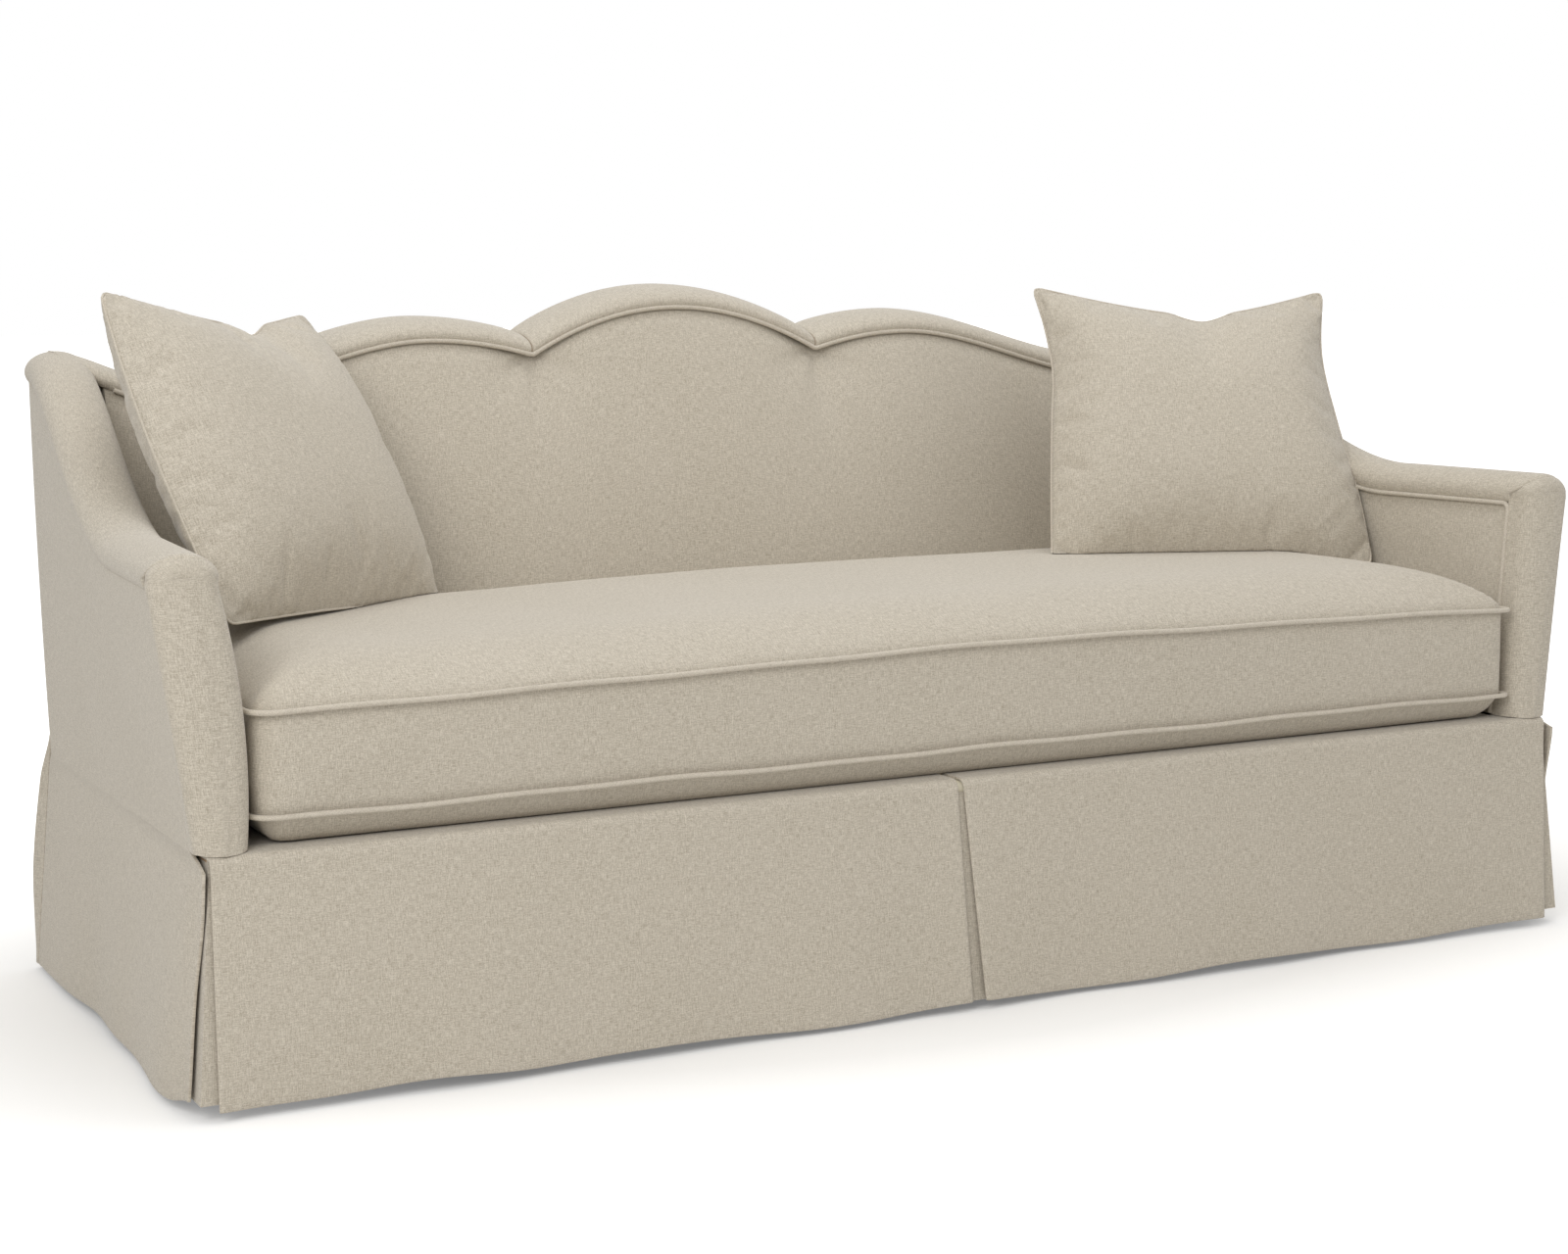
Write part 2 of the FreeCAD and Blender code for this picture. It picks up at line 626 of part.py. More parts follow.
def back_welt_ring(x):
    lift = Vector(0, -WELT_STANDOFF, S.welt_rise)
    centre = Vector(x, border_front(x), ridge(x) - S.border_front_drop) + lift
    return Part.Wire(Part.Circle(centre, Vector(1, 0, 0), WELT_RADIUS).toShape())


back_welt_reach = INSIDE_BACK_TOP - 2 * S.welt_diameter
keep("BackWelt", "back_welt", loft([back_welt_ring(x) for x in across_back(back_welt_reach)]))


def leaning_slice(x, low, high, rear, front):
    """An upright slice that follows the rear face, from rear to front ahead of it."""
    corners = [(rear, low), (rear, high), (front, high), (front, low)]
    return polygon([Vector(x, rear_face(z) - offset, z) for offset, z in corners])


def outside_back_slice(x):
    top = ridge(x) - S.border_rear_drop - S.seam_gap
    return leaning_slice(x, S.rear_skirt_top - S.rear_skirt_lap, top, 0, S.cloth_thickness)


outside_back_reach = arm_outer(S.back_base, S.deck_height) - S.soft_clearance
outside_back = loft([outside_back_slice(x) for x in across_back(outside_back_reach)])
keep("OutsideBack", "outside_back", outside_back.cut(both_rolls))


# Back boards
def back_post_section(z):
    near = rear_face(z) - WOOD_REAR - S.post_depth
    return upright_section(z, near, near + S.post_depth, wood_inner, board_outer)


corner_ridge = ridge(wood_inner(S.back_base, S.corner_height))
BACK_POST_TOP = min(arm_seam(S.back_base), corner_ridge - S.border_rear_drop) - S.cloth_thickness
back_post = loft([back_post_section(z) for z in (S.rail_top, S.deck_height, TACK_TOP, BACK_POST_TOP)])
mirrored(keep("BackPost", "back_post_right", back_post), "back_post_left")


def post_inner(z):
    return min(wood_inner(rear_face(z) - offset, z) for offset in (WOOD_REAR, WOOD_REAR + S.post_depth))


TOP_RAIL_REACH = min(post_inner(S.top_rail_bottom), post_inner(BACK_POST_TOP)) - S.soft_clearance


def top_rail_slice(x):
    top = ridge(x) - S.border_rear_drop - 3 * S.seam_gap
    return leaning_slice(x, S.top_rail_bottom, top, WOOD_REAR, WOOD_FRONT)


top_rail = loft([top_rail_slice(x) for x in across_back(TOP_RAIL_REACH)])
keep("BackTopRail", "back_top_rail", top_rail)


def leaning_board(middle, width, low, high, rear, front):
    return loft([leaning_slice(middle + side * width / 2, low, high, rear, front) for side in (-1, 1)])


tack_reach = min(post_inner(TACK_BASE), post_inner(TACK_TOP)) - S.soft_clearance
tack_rail = leaning_board(0, 2 * tack_reach, TACK_BASE, TACK_TOP, WOOD_REAR, WOOD_FRONT)
keep("BackTackRail", "back_tack_rail", tack_rail)
uprights = [
    leaning_board(side * S.upright_offset, S.upright_width, TACK_TOP, S.top_rail_bottom, WOOD_REAR, WOOD_FRONT)
    for side in (-1, 1)
]
keep("BackUprights", "back_uprights", Part.makeCompound(uprights))
web_front = WOOD_FRONT + S.soft_clearance + S.webbing_thickness
webs = [
    leaning_board(
        middle,
        S.webbing_width,
        TACK_TOP - S.webbing_lap,
        S.top_rail_bottom + S.webbing_lap,
        WOOD_FRONT + S.soft_clearance,
        web_front,
    )
    for middle in spread(-S.webbing_field / 2, S.webbing_field / 2, int(S.webbing_count))
]
keep("BackWebbing", "back_webbing", Part.makeCompound(webs))

# Seat rails, stretchers, corner blocks and legs
FRONT_RAIL_FRONT = S.front_rail_setback - S.arm_front
FRONT_RAIL_REAR = FRONT_RAIL_FRONT + S.board_thickness
BACK_RAIL_REAR = S.back_base - S.rear_rail_setback
BACK_RAIL_FRONT = BACK_RAIL_REAR - S.board_thickness
RAIL_MIDDLE = (FRONT_RAIL_REAR + BACK_RAIL_FRONT) / 2

front_rail_place = Vector(0, FRONT_RAIL_FRONT + S.board_thickness / 2, S.rail_base)
back_rail_place = Vector(0, BACK_RAIL_FRONT + S.board_thickness / 2, S.rail_base)
nodes.append(board("front_rail", "Sizes.front_rail_length", "Sizes.board_thickness", "Sizes.rail_height", front_rail_place))
nodes.append(board("back_rail", "Sizes.back_rail_length", "Sizes.board_thickness", "Sizes.rail_height", back_rail_place))


def side_rail_inner(y):
    return wood_inner(y, S.deck_height) - S.soft_clearance


def side_rail_section(y):
    inner = side_rail_inner(y)
    outer = inner + S.board_thickness
    corners = [(inner, S.rail_base), (outer, S.rail_base), (outer, S.rail_top), (inner, S.rail_top)]
    return polygon([Vector(x, y, z) for x, z in corners])


side_rail = loft([side_rail_section(y) for y in (FRONT_RAIL_REAR, BACK_RAIL_FRONT)])
mirrored(keep("SideRail", "side_rail_right", side_rail), "side_rail_left")

stretchers = []
for middle, width in ((-S.stretcher_offset, "Sizes.stretcher_width"), (0, "Sizes.centre_stretcher_width"),
                      (S.stretcher_offset, "Sizes.stretcher_width")):
    name = f"stretcher_{len(stretchers)}"
    place = Vector(middle, RAIL_MIDDLE, S.rail_base)
    stretchers.append(board(name, width, "Sizes.rail_bay", "Sizes.stretcher_height", place))


def corner_block(sign_x, rear):
    """A triangular block in a corner of the rails, bored for the leg's bolt."""
    near = BACK_RAIL_FRONT if rear else FRONT_RAIL_REAR
    inward = -1 if rear else 1
    far = near + inward * S.corner_block_leg
    side = min(side_rail_inner(near), side_rail_inner(far)) - S.soft_clearance
    corners = [(side, near), (side - S.corner_block_leg, near), (side, far)]
    face = Part.Face(polygon([Vector(sign_x * x, y, S.rail_base) for x, y in corners]))
    foot = Vector(sign_x * (side - S.leg_inset), near + inward * S.leg_inset, 0)
    return face.extrude(Vector(0, 0, S.stretcher_height)), foot


blocks, leg_places = [], []
for sign_x in (-1, 1):
    for rear in (False, True):
        shape, foot = corner_block(sign_x, rear)
        side_name = "left" if sign_x < 0 else "right"
        blocks.append(shape)
        leg_places.append((f"leg_{'back' if rear else 'front'}_{side_name}", foot))
centre_places = [Vector(0, FRONT_RAIL_REAR + S.leg_inset, 0), Vector(0, BACK_RAIL_FRONT - S.leg_inset, 0)]
all_places = [place for _, place in leg_places] + centre_places


def bolt(place, grow=0):
    start = Vector(place.x, place.y, S.rail_base - S.leg_bolt_depth)
    return Part.makeCylinder(S.leg_bolt_radius + grow, S.leg_bolt_length, start)


bolts = [bolt(place) for place in all_places]
bores = [bolt(place, S.bolt_fit) for place in all_places]
keep("CornerBlocks", "corner_blocks", Part.makeCompound([shape.cut(bores) for shape in blocks]))
keep("LegBolts", "leg_bolts", Part.makeCompound(bolts))

bored = []
for body in stretchers:
    doc.recompute()
    bored.append(body.Shape.cut(bores))
keep("SeatStretchers", "seat_stretchers", Part.makeCompound(bored))


def leg(name, place):
    """A tapered round leg with a blind bore for its hanger bolt."""
    cone = doc.addObject("Part::Cone", name + "_turned")
    cone.setExpression("Radius1", "Sizes.leg_foot_radius")
    cone.setExpression("Radius2", "Sizes.leg_top_radius")
    cone.setExpression("Height", "Sizes.leg_height")
    cone.Placement = Placement(Vector(place.x, place.y, S.glide_height), Rotation())
    bore = doc.addObject("Part::Cylinder", name + "_bore")
    bore.setExpression("Radius", "Sizes.leg_bolt_radius + Sizes.bolt_fit")
    bore.setExpression("Height", "Sizes.leg_bolt_length")
    bore.Placement = Placement(Vector(place.x, place.y, S.rail_base - S.leg_bolt_depth), Rotation())
    bored_leg = doc.addObject("Part::Cut", name)
    bored_leg.Label = name
    bored_leg.Base = cone
    bored_leg.Tool = bore
    return bored_leg


for name, place in leg_places:
    nodes.append(leg(name, place))
group("legs_centre", [leg(f"leg_centre_{index}", place) for index, place in enumerate(centre_places)])
glides = []
for index, place in enumerate(all_places):
    glide = doc.addObject("Part::Cylinder", f"glide_{index}")
    glide.setExpression("Radius", "Sizes.glide_radius")
    glide.setExpression("Height", "Sizes.glide_height")
    glide.Placement = Placement(place, Rotation())
    glides.append(glide)
group("leg_glides", glides)

# Springs, clips and the layers of the deck
SPRING_FIRST = FRONT_RAIL_REAR - S.spring_end_inset
SPRING_LAST = BACK_RAIL_FRONT + S.spring_end_inset
WIRE_HEIGHT = S.rail_top + S.spring_wire / 2
spring_places = spread(-S.spring_field / 2, S.spring_field / 2, int(S.spring_count))


def spring(middle):
    """Zigzag wire: straight bars joined by half turns at alternate ends."""
    count = int(S.spring_bars)
    rows = spread(SPRING_FIRST, SPRING_LAST, count)
    turn = (rows[1] - rows[0]) / 2
    half = S.spring_width / 2 - turn
    edges = []
    for index, y in enumerate(rows):
        side = 1 if index % 2 == 0 else -1
        start, end = Vector(middle - side * half, y, WIRE_HEIGHT), Vector(middle + side * half, y, WIRE_HEIGHT)
        edges.append(line(start, end))
        if index < count - 1:
            apex = Vector(end.x + side * turn, y + turn, WIRE_HEIGHT)
            edges.append(arc(end, apex, Vector(end.x, rows[index + 1], WIRE_HEIGHT)))
    first = Vector(middle - half, rows[0], WIRE_HEIGHT)
    profile = Part.Wire(Part.Circle(first, Vector(1, 0, 0), S.spring_wire / 2).toShape())
    return Part.Wire(edges).makePipeShell([profile], True, False)


def spring_clip(middle, y):
    half_length, half_width = S.clip_length / 2, S.clip_width / 2
    body = block(
        Vector(middle - half_length, y - half_width, S.rail_top),
        Vector(middle + half_length, y + half_width, S.clip_top),
    )
    reach = S.spring_wire / 2 + S.clip_fit
    seat = block(
        Vector(middle - S.clip_length, y - reach, S.rail_top - S.clip_fit),
        Vector(middle + S.clip_length, y + reach, S.rail_top + S.spring_wire + S.clip_fit),
    )
    return body.cut(seat)


keep("SeatSprings", "seat_springs", Part.makeCompound([spring(middle) for middle in spring_places]))
clips = [spring_clip(middle, y) for middle in spring_places for y in (SPRING_FIRST, SPRING_LAST)]
keep("SpringClips", "spring_clips", Part.makeCompound(clips))


def deck_layer(low, thickness, front, rear):
    """A level sheet between the splayed arms."""
    def half(y):
        return arm_inner(y, S.deck_height) - S.soft_clearance

    corners = [(-half(front), front), (half(front), front), (half(rear), rear), (-half(rear), rear)]
    return Part.Face(polygon([Vector(x, y, low) for x, y in corners])).extrude(Vector(0, 0, thickness))


LIP_REAR = S.front_lip_depth - S.skirt_top_reach - S.arm_front
LAYER_FRONT = LIP_REAR + S.soft_clearance
INSULATOR_BASE = S.clip_top + S.layer_gap
PAD_BASE = INSULATOR_BASE + S.insulator_thickness + S.layer_gap
COVER_BASE = PAD_BASE + S.deck_pad_thickness + S.layer_gap
keep("Insulator", "spring_insulator", deck_layer(INSULATOR_BASE, S.insulator_thickness, LAYER_FRONT, S.deck_rear))
keep("DeckPad", "deck_pad", deck_layer(PAD_BASE, S.deck_pad_thickness, LAYER_FRONT, S.deck_rear))
keep("DeckCover", "deck_cover", deck_layer(COVER_BASE, S.deck_cloth, LAYER_FRONT, S.deck_rear))

edge_front = S.cloth_thickness + S.pleat_gap + S.underlay_thickness - S.skirt_top_reach - S.arm_front
edge_front += S.soft_clearance
edge_half = arm_inner(LIP_REAR, S.deck_height) - S.soft_clearance
edge_top = S.deck_height - S.cloth_thickness - S.soft_clearance
edge_low = S.clip_top + S.layer_gap
edge_round = S.nose_radius - S.cloth_thickness
edge_corner = Vector(0, edge_front + edge_round, edge_top - edge_round)
edge_outline = Part.Wire([
    line(Vector(0, LIP_REAR, edge_low), Vector(0, edge_front, edge_low)),
    line(Vector(0, edge_front, edge_low), Vector(0, edge_front, edge_corner.z)),
    arc(
        Vector(0, edge_front, edge_corner.z),
        edge_corner + Vector(0, -edge_round * DIAGONAL, edge_round * DIAGONAL),
        Vector(0, edge_corner.y, edge_top),
    ),
    line(Vector(0, edge_corner.y, edge_top), Vector(0, LIP_REAR, edge_top)),
    line(Vector(0, LIP_REAR, edge_top), Vector(0, LIP_REAR, edge_low)),
])
edge_outline.translate(Vector(-edge_half, 0, 0))
keep("FrontEdgeRoll", "front_edge_roll", Part.Face(edge_outline).extrude(Vector(2 * edge_half, 0, 0)))

dust_front = FRONT_RAIL_FRONT + S.dust_cover_inset
dust_rear = BACK_RAIL_REAR - S.dust_cover_inset
dust_cover = deck_layer(S.rail_base - S.dust_cloth - S.layer_gap, S.dust_cloth, dust_front, dust_rear)
leg_holes = [
    Part.makeCylinder(S.leg_top_radius + S.soft_clearance, S.rail_base, Vector(place.x, place.y, 0))
    for place in all_places
]
keep("DustCover", "dust_cover", dust_cover.cut(leg_holes))


# Skirt
def front_skirt_y(z):
    """Front of the skirt: it falls forward from the deck's edge to the hem."""
    drop = (S.deck_height - z) / (S.deck_height - S.hem_height)
    return -S.arm_front - S.skirt_top_reach - (S.skirt_hem_reach - S.skirt_top_reach) * drop


def skirt_section(x_top, x_hem, wave):
    """Cloth from under the cushion, over the deck's rounded edge and down to the hem."""
    thick = S.cloth_thickness
    nose = S.nose_radius

    def place(y, z):
        share = (S.deck_height - z) / (S.deck_height - S.hem_height)
        return Vector(x_top + (x_hem - x_top) * share, y - wave * share, z)

    top, hem, bend = S.deck_height, S.hem_height, S.deck_height - nose
    face = front_skirt_y(bend)
    pivot = face + nose
    outer_mid = place(pivot - nose * DIAGONAL, bend + nose * DIAGONAL)
    inner_mid = place(pivot - (nose - thick) * DIAGONAL, bend + (nose - thick) * DIAGONAL)
    return Part.Wire([
        line(place(front_skirt_y(hem), hem), place(face, bend)),
        arc(place(face, bend), outer_mid, place(pivot, top)),
        line(place(pivot, top), place(LIP_REAR, top)),
        line(place(LIP_REAR, top), place(LIP_REAR, top - thick)),
        line(place(LIP_REAR, top - thick), place(pivot, top - thick)),
        arc(place(pivot, top - thick), inner_mid, place(face + thick, bend)),
        line(place(face + thick, bend), place(front_skirt_y(hem) + thick, hem)),
        line(place(front_skirt_y(hem) + thick, hem), place(front_skirt_y(hem), hem)),
    ])


WAVE_SHARES = [0, 0.7, -0.5, 0.6, -0.3, 0.5, 0]
SKIRT_END = arm_outer(-S.arm_front, S.deck_height) - S.corner_gap


def front_skirt(side):
    """One half of the front skirt, from the corner to the centre pleat."""
    top_end = side * S.pleat_gap_top
    hem_end = side * S.pleat_gap_hem + S.pleat_drift
    corner = side * SKIRT_END
    tops = spread(corner, top_end, len(WAVE_SHARES))
    hems = spread(corner, hem_end, len(WAVE_SHARES))
    return loft([
        skirt_section(x_top, x_hem, share * S.skirt_wave)
        for x_top, x_hem, share in zip(tops, hems, WAVE_SHARES)
    ], ruled=False)


post_notch = arm_post_shape(S.soft_clearance)
left_notch = post_notch.mirror(Vector(0, 0, 0), Vector(1, 0, 0))
keep("SkirtFrontLeft", "skirt_front_left", front_skirt(-1).cut(left_notch))
keep("SkirtFrontRight", "skirt_front_right", front_skirt(1).cut(post_notch))


def behind_skirt(z):
    return front_skirt_y(z) + S.cloth_thickness + S.pleat_gap


underlay_top = S.deck_height - S.corner_underlay_drop
underlay_low = S.hem_height + S.underlay_thickness


def pleat_slice(x):
    corners = [(0, underlay_low), (0, underlay_top), (S.underlay_thickness, underlay_top)]
    corners += [(S.underlay_thickness, underlay_low)]
    return polygon([Vector(x, behind_skirt(z) + back, z) for back, z in corners])


pleat_middle = S.pleat_drift / 2
pleat_sides = (pleat_middle - S.pleat_underlay_width / 2, pleat_middle + S.pleat_underlay_width / 2)
keep("CentrePleat", "skirt_centre_pleat", loft([pleat_slice(x) for x in pleat_sides]))


def side_skirt_inner(y, z):
    drop = (S.deck_height - z) / (S.deck_height - S.hem_height)
    return arm_outer(y, S.deck_height) + S.side_hem_flare * drop - S.cloth_thickness


def rear_skirt_inner(z):
    """A straight line inside the rear skirt's bulge."""
    drop = (S.rear_skirt_top - z) / (S.rear_skirt_top - S.hem_height)
    return rear_face(S.rear_skirt_top) + (S.back_base + S.rear_skirt_hem_reach - rear_face(S.rear_skirt_top)) * drop


def corner_underlay(rear):
    """A folded strip behind the open corner of the skirt."""
    def section(z):
        y_out = rear_skirt_inner(z) - S.pleat_gap if rear else behind_skirt(z)
        inward = -1 if rear else 1
        thick, run = S.underlay_thickness, S.corner_underlay_leg
        y_turn, y_end = y_out + inward * thick, y_out + inward * run

        def side(y):
            return side_skirt_inner(y, z) - S.pleat_gap

        corner = min(side(y_out), side(S.back_base)) if rear else side(y_out)
        turn = corner + side(y_turn) - side(y_out)
        end = side(y_end) if not rear else min(side(y_end), turn + side(y_end) - side(y_turn))
        corners = [(corner, y_out), (corner - run, y_out), (corner - run, y_turn)]
        corners += [(turn - thick, y_turn), (end - thick, y_end), (end, y_end)]
        return polygon([Vector(x, y, z) for x, y in corners])

    return loft([section(z) for z in (underlay_low, underlay_top)])


corner_pieces = [corner_underlay(rear) for rear in (False, True)]
corner_pieces += [shape.mirror(Vector(0, 0, 0), Vector(1, 0, 0)) for shape in corner_pieces]
keep("CornerPleats", "skirt_corner_pleats", Part.makeCompound(corner_pieces))


def rear_skirt_section(x_top, x_hem):
    def place(y, z):
        share = (S.rear_skirt_top - z) / (S.rear_skirt_top - S.hem_height)
        return Vector(x_top + (x_hem - x_top) * share, y, z)

    def curve(back):
        top = place(rear_face(S.rear_skirt_top) + S.soft_clearance + back, S.rear_skirt_top)
        full = place(S.back_base + S.rear_skirt_bulge + back, S.rear_skirt_bulge_height)
        hem = place(S.back_base + S.rear_skirt_hem_reach + back, S.hem_height)
        return top, full, hem

    outer, inner = curve(S.cloth_thickness), curve(0)
    return Part.Wire([
        arc(*outer),
        line(outer[2], inner[2]),
        arc(inner[2], inner[1], inner[0]),
        line(inner[0], outer[0]),
    ])


rear_top = outside_back_reach - S.soft_clearance
rear_hem = side_skirt_inner(S.back_base, S.hem_height) + S.cloth_thickness
rear_skirt = loft([rear_skirt_section(side * rear_top, side * rear_hem) for side in (-1, 1)])
keep("SkirtBack", "skirt_back", rear_skirt)

# Seat cushion
CUSHION_FRONT = S.cushion_front_setback - S.arm_front
CUSHION_REAR = S.back_face - S.cushion_rear_gap
CUSHION_HALF = HALF_SEAT - S.cushion_side_gap
CUSHION_BASE = S.deck_height + S.soft_clearance
LOWER_WELT = S.deck_height + S.cushion_boxing_base
UPPER_WELT = LOWER_WELT + S.cushion_boxing
STATION_SHARES = [-1, -0.96, -0.86, -0.68, -0.36, 0, 0.36, 0.68, 0.86, 0.96, 1]
SHOULDER_SHARE = 0.9
CROWN_BLUNT, CROWN_SWELL = 3.5, 0.6


def cushion_half(y):
    return CUSHION_HALF - (S.arm_splay + S.cushion_rear_draw) * (y - CUSHION_FRONT) / S.arm_length


def crown_share(share):
    """Full over the middle of the cushion and drawn in to its edges."""
    return (1 - abs(share) ** CROWN_BLUNT) ** CROWN_SWELL


def cushion_section(share, shrink):
    """A slice across the cushion: tucked base, swelling boxing and a crowned top."""
    front, rear = CUSHION_FRONT + shrink, CUSHION_REAR - shrink
    y = (front + rear) / 2 + share * (rear - front) / 2
    wide = cushion_half(y) - shrink
    full = crown_share(share)
    low = LOWER_WELT + shrink - (LOWER_WELT - CUSHION_BASE) * full
    crest = UPPER_WELT - shrink + S.cushion_crown * full + S.cushion_side_swell * (1 - full)
    shoulder = UPPER_WELT - shrink + (crest - UPPER_WELT + shrink) * SHOULDER_SHARE
    lower, upper = LOWER_WELT + shrink, UPPER_WELT - shrink
    lower = max(lower, low + S.cushion_side_swell / 2)
    tucked = wide - S.cushion_tuck

    def at(x, z):
        return Vector(x, y, z)

    def edge(sign):
        swell = sign * (wide + S.cushion_side_swell)
        base = at(sign * tucked, low)
        belly = at(sign * (tucked + S.cushion_tuck * DIAGONAL), lower - (lower - low) * DIAGONAL)
        foot, brim = at(sign * wide, lower), at(sign * wide, upper)
        over = at(sign * (wide - S.cushion_shoulder), shoulder)
        bend = at(sign * (wide - S.cushion_shoulder * (1 - DIAGONAL)), upper + (shoulder - upper) * DIAGONAL)
        return base, belly, foot, at(swell, (lower + upper) / 2), brim, bend, over

    right, left = edge(1), edge(-1)
    return Part.Wire([
        line(left[0], right[0]),
        arc(right[0], right[1], right[2]),
        arc(right[2], right[3], right[4]),
        arc(right[4], right[5], right[6]),
        arc(right[6], at(0, crest), left[6]),
        arc(left[6], left[5], left[4]),
        arc(left[4], left[3], left[2]),
        arc(left[2], left[1], left[0]),
    ])


def cushion_form(shrink):
    return loft([cushion_section(share, shrink) for share in STATION_SHARES], ruled=False)


full_cushion = cushion_form(0)
keep("CushionCover", "cushion_cover", full_cushion.cut(cushion_form(S.cushion_cloth)))
keep("CushionCore", "cushion_core", cushion_form(S.cushion_cloth + S.soft_clearance))


def cushion_welt(z):
    """Piping all round the boxing, with rounded corners."""
    reach = WELT_STANDOFF + S.cushion_side_swell / 3
    front, rear = CUSHION_FRONT - reach, CUSHION_REAR + reach
    wide, narrow = cushion_half(front) + reach, cushion_half(rear) + reach
    turn = S.welt_diameter
    corners = [Vector(-wide, front, z), Vector(wide, front, z), Vector(narrow, rear, z), Vector(-narrow, rear, z)]
    edges = []
    for index, corner in enumerate(corners):
        before, after = corners[index - 1], corners[(index + 1) % 4]
        half_angle = (before - corner).getAngle(after - corner) / 2
        start = corner + (before - corner).normalize() * turn
        end = corner + (after - corner).normalize() * turn
        radius = turn * math.tan(half_angle)
        inward = ((start + end) * 0.5 - corner).normalize()
        edges.append(arc(start, corner + inward * (radius / math.sin(half_angle) - radius), end))
        edges.append(line(end, after + (corner - after).normalize() * turn))
    begin = corners[0] + (corners[1] - corners[0]).normalize() * turn
    profile = Part.Wire(Part.Circle(begin, Vector(1, 0, 0), WELT_RADIUS).toShape())
    return Part.Wire(edges[1:] + edges[:1]).makePipeShell([profile], True, False)


keep("CushionTopWelt", "cushion_top_welt", cushion_welt(UPPER_WELT))
keep("CushionBottomWelt", "cushion_bottom_welt", cushion_welt(LOWER_WELT))

# Zipper in the rear boxing
ZIP_HEIGHT = (LOWER_WELT + UPPER_WELT) / 2
ZIP_FACE = CUSHION_REAR + S.soft_clearance
zipper_tape = block(
    Vector(-S.zipper_length / 2, ZIP_FACE, ZIP_HEIGHT - S.zipper_tape_height / 2),
    Vector(S.zipper_length / 2, ZIP_FACE + S.zipper_tape_thickness, ZIP_HEIGHT + S.zipper_tape_height / 2),
)
keep("CushionZipper", "cushion_zipper", zipper_tape)
slider_face = ZIP_FACE + S.zipper_tape_thickness + S.soft_clearance
slider_start = -S.zipper_length / 2
slider = block(
    Vector(slider_start, slider_face, ZIP_HEIGHT - S.zipper_slider_height / 2),
    Vector(slider_start + S.zipper_slider_length, slider_face + S.zipper_slider_depth, ZIP_HEIGHT + S.zipper_slider_height / 2),
)
slider = slider.makeFillet(S.zipper_slider_depth / 4, slider.Edges)
tab_middle = slider_start + S.zipper_slider_length / 2
tab_face = slider_face + S.zipper_slider_depth - S.zipper_tab_thickness
tab = block(
    Vector(tab_middle - S.zipper_tab_width / 2, tab_face, ZIP_HEIGHT - S.zipper_tab_length),
    Vector(tab_middle + S.zipper_tab_width / 2, slider_face + S.zipper_slider_depth, ZIP_HEIGHT),
)
keep("ZipperSlider", "zipper_slider", slider.fuse(tab).removeSplitter())


# Pillows
PILLOW_SHARES = [-1, -0.93, -0.78, -0.5, -0.22, 0, 0.22, 0.5, 0.78, 0.93, 1]
PILLOW_BLUNT, PILLOW_SWELL, PILLOW_WAIST = 2.6, 0.8, 1.5


def drawn_in(share):
    """How far between its corners an edge has drawn in, 0 at the corners."""
    return 1 - abs(share) ** PILLOW_WAIST


def pillow_section(share, shrink, seam):
    """An upright lens: two bowed faces that meet in a knife edge above and below."""
    half_width = S.pillow_width / 2 - seam
    x = share * half_width
    full = (1 - abs(share) ** PILLOW_BLUNT) ** PILLOW_SWELL
    thick = max((S.pillow_thickness - S.pillow_edge) * full + S.pillow_edge - 2 * shrink, S.pillow_edge - 2 * shrink)
    drawn = drawn_in(share)
    dent = S.pillow_chop * max(0, 1 - (2 * x / S.pillow_chop_width) ** 2) ** 2
    top = S.pillow_height - S.pillow_ear_drop * drawn - dent - seam
    low = S.pillow_base_drop * drawn + seam
    middle = (top + low) / 2
    foot, brim = Vector(x, 0, low), Vector(x, 0, top)
    faces = [arc(foot, Vector(x, thick / 2, middle), brim), arc(brim, Vector(x, -thick / 2, middle), foot)]
    return Part.Wire(faces)


def pillow_form(shrink, seam):
    return loft([pillow_section(share, shrink, seam) for share in PILLOW_SHARES], ruled=False)


def cushion_top(x, y):
    """Height of the cushion's crown above the floor."""
    plumb = Part.makeLine(Vector(x, y, 0), Vector(x, y, S.hump_height))
    return full_cushion.common(plumb).BoundBox.ZMax


def pillow_place(x, y, turn, tilt):
    """A pillow leaning in its corner, its lower edge resting on the crown."""
    facing = Rotation(Vector(0, 0, 1), turn)
    lean = Rotation(Vector(1, 0, 0), -S.pillow_lean)
    roll = Rotation(Vector(0, 1, 0), tilt)
    rotation = facing * lean * roll
    rise = 0
    for share in spread(-1, 1, 33):
        local = Vector(share * S.pillow_width / 2, 0, S.pillow_base_drop * drawn_in(share))
        offset = rotation.multVec(local)
        rise = max(rise, cushion_top(x + offset.x, y + offset.y) - offset.z)
    return Placement(Vector(x, y, rise + 2 * S.soft_clearance), rotation)


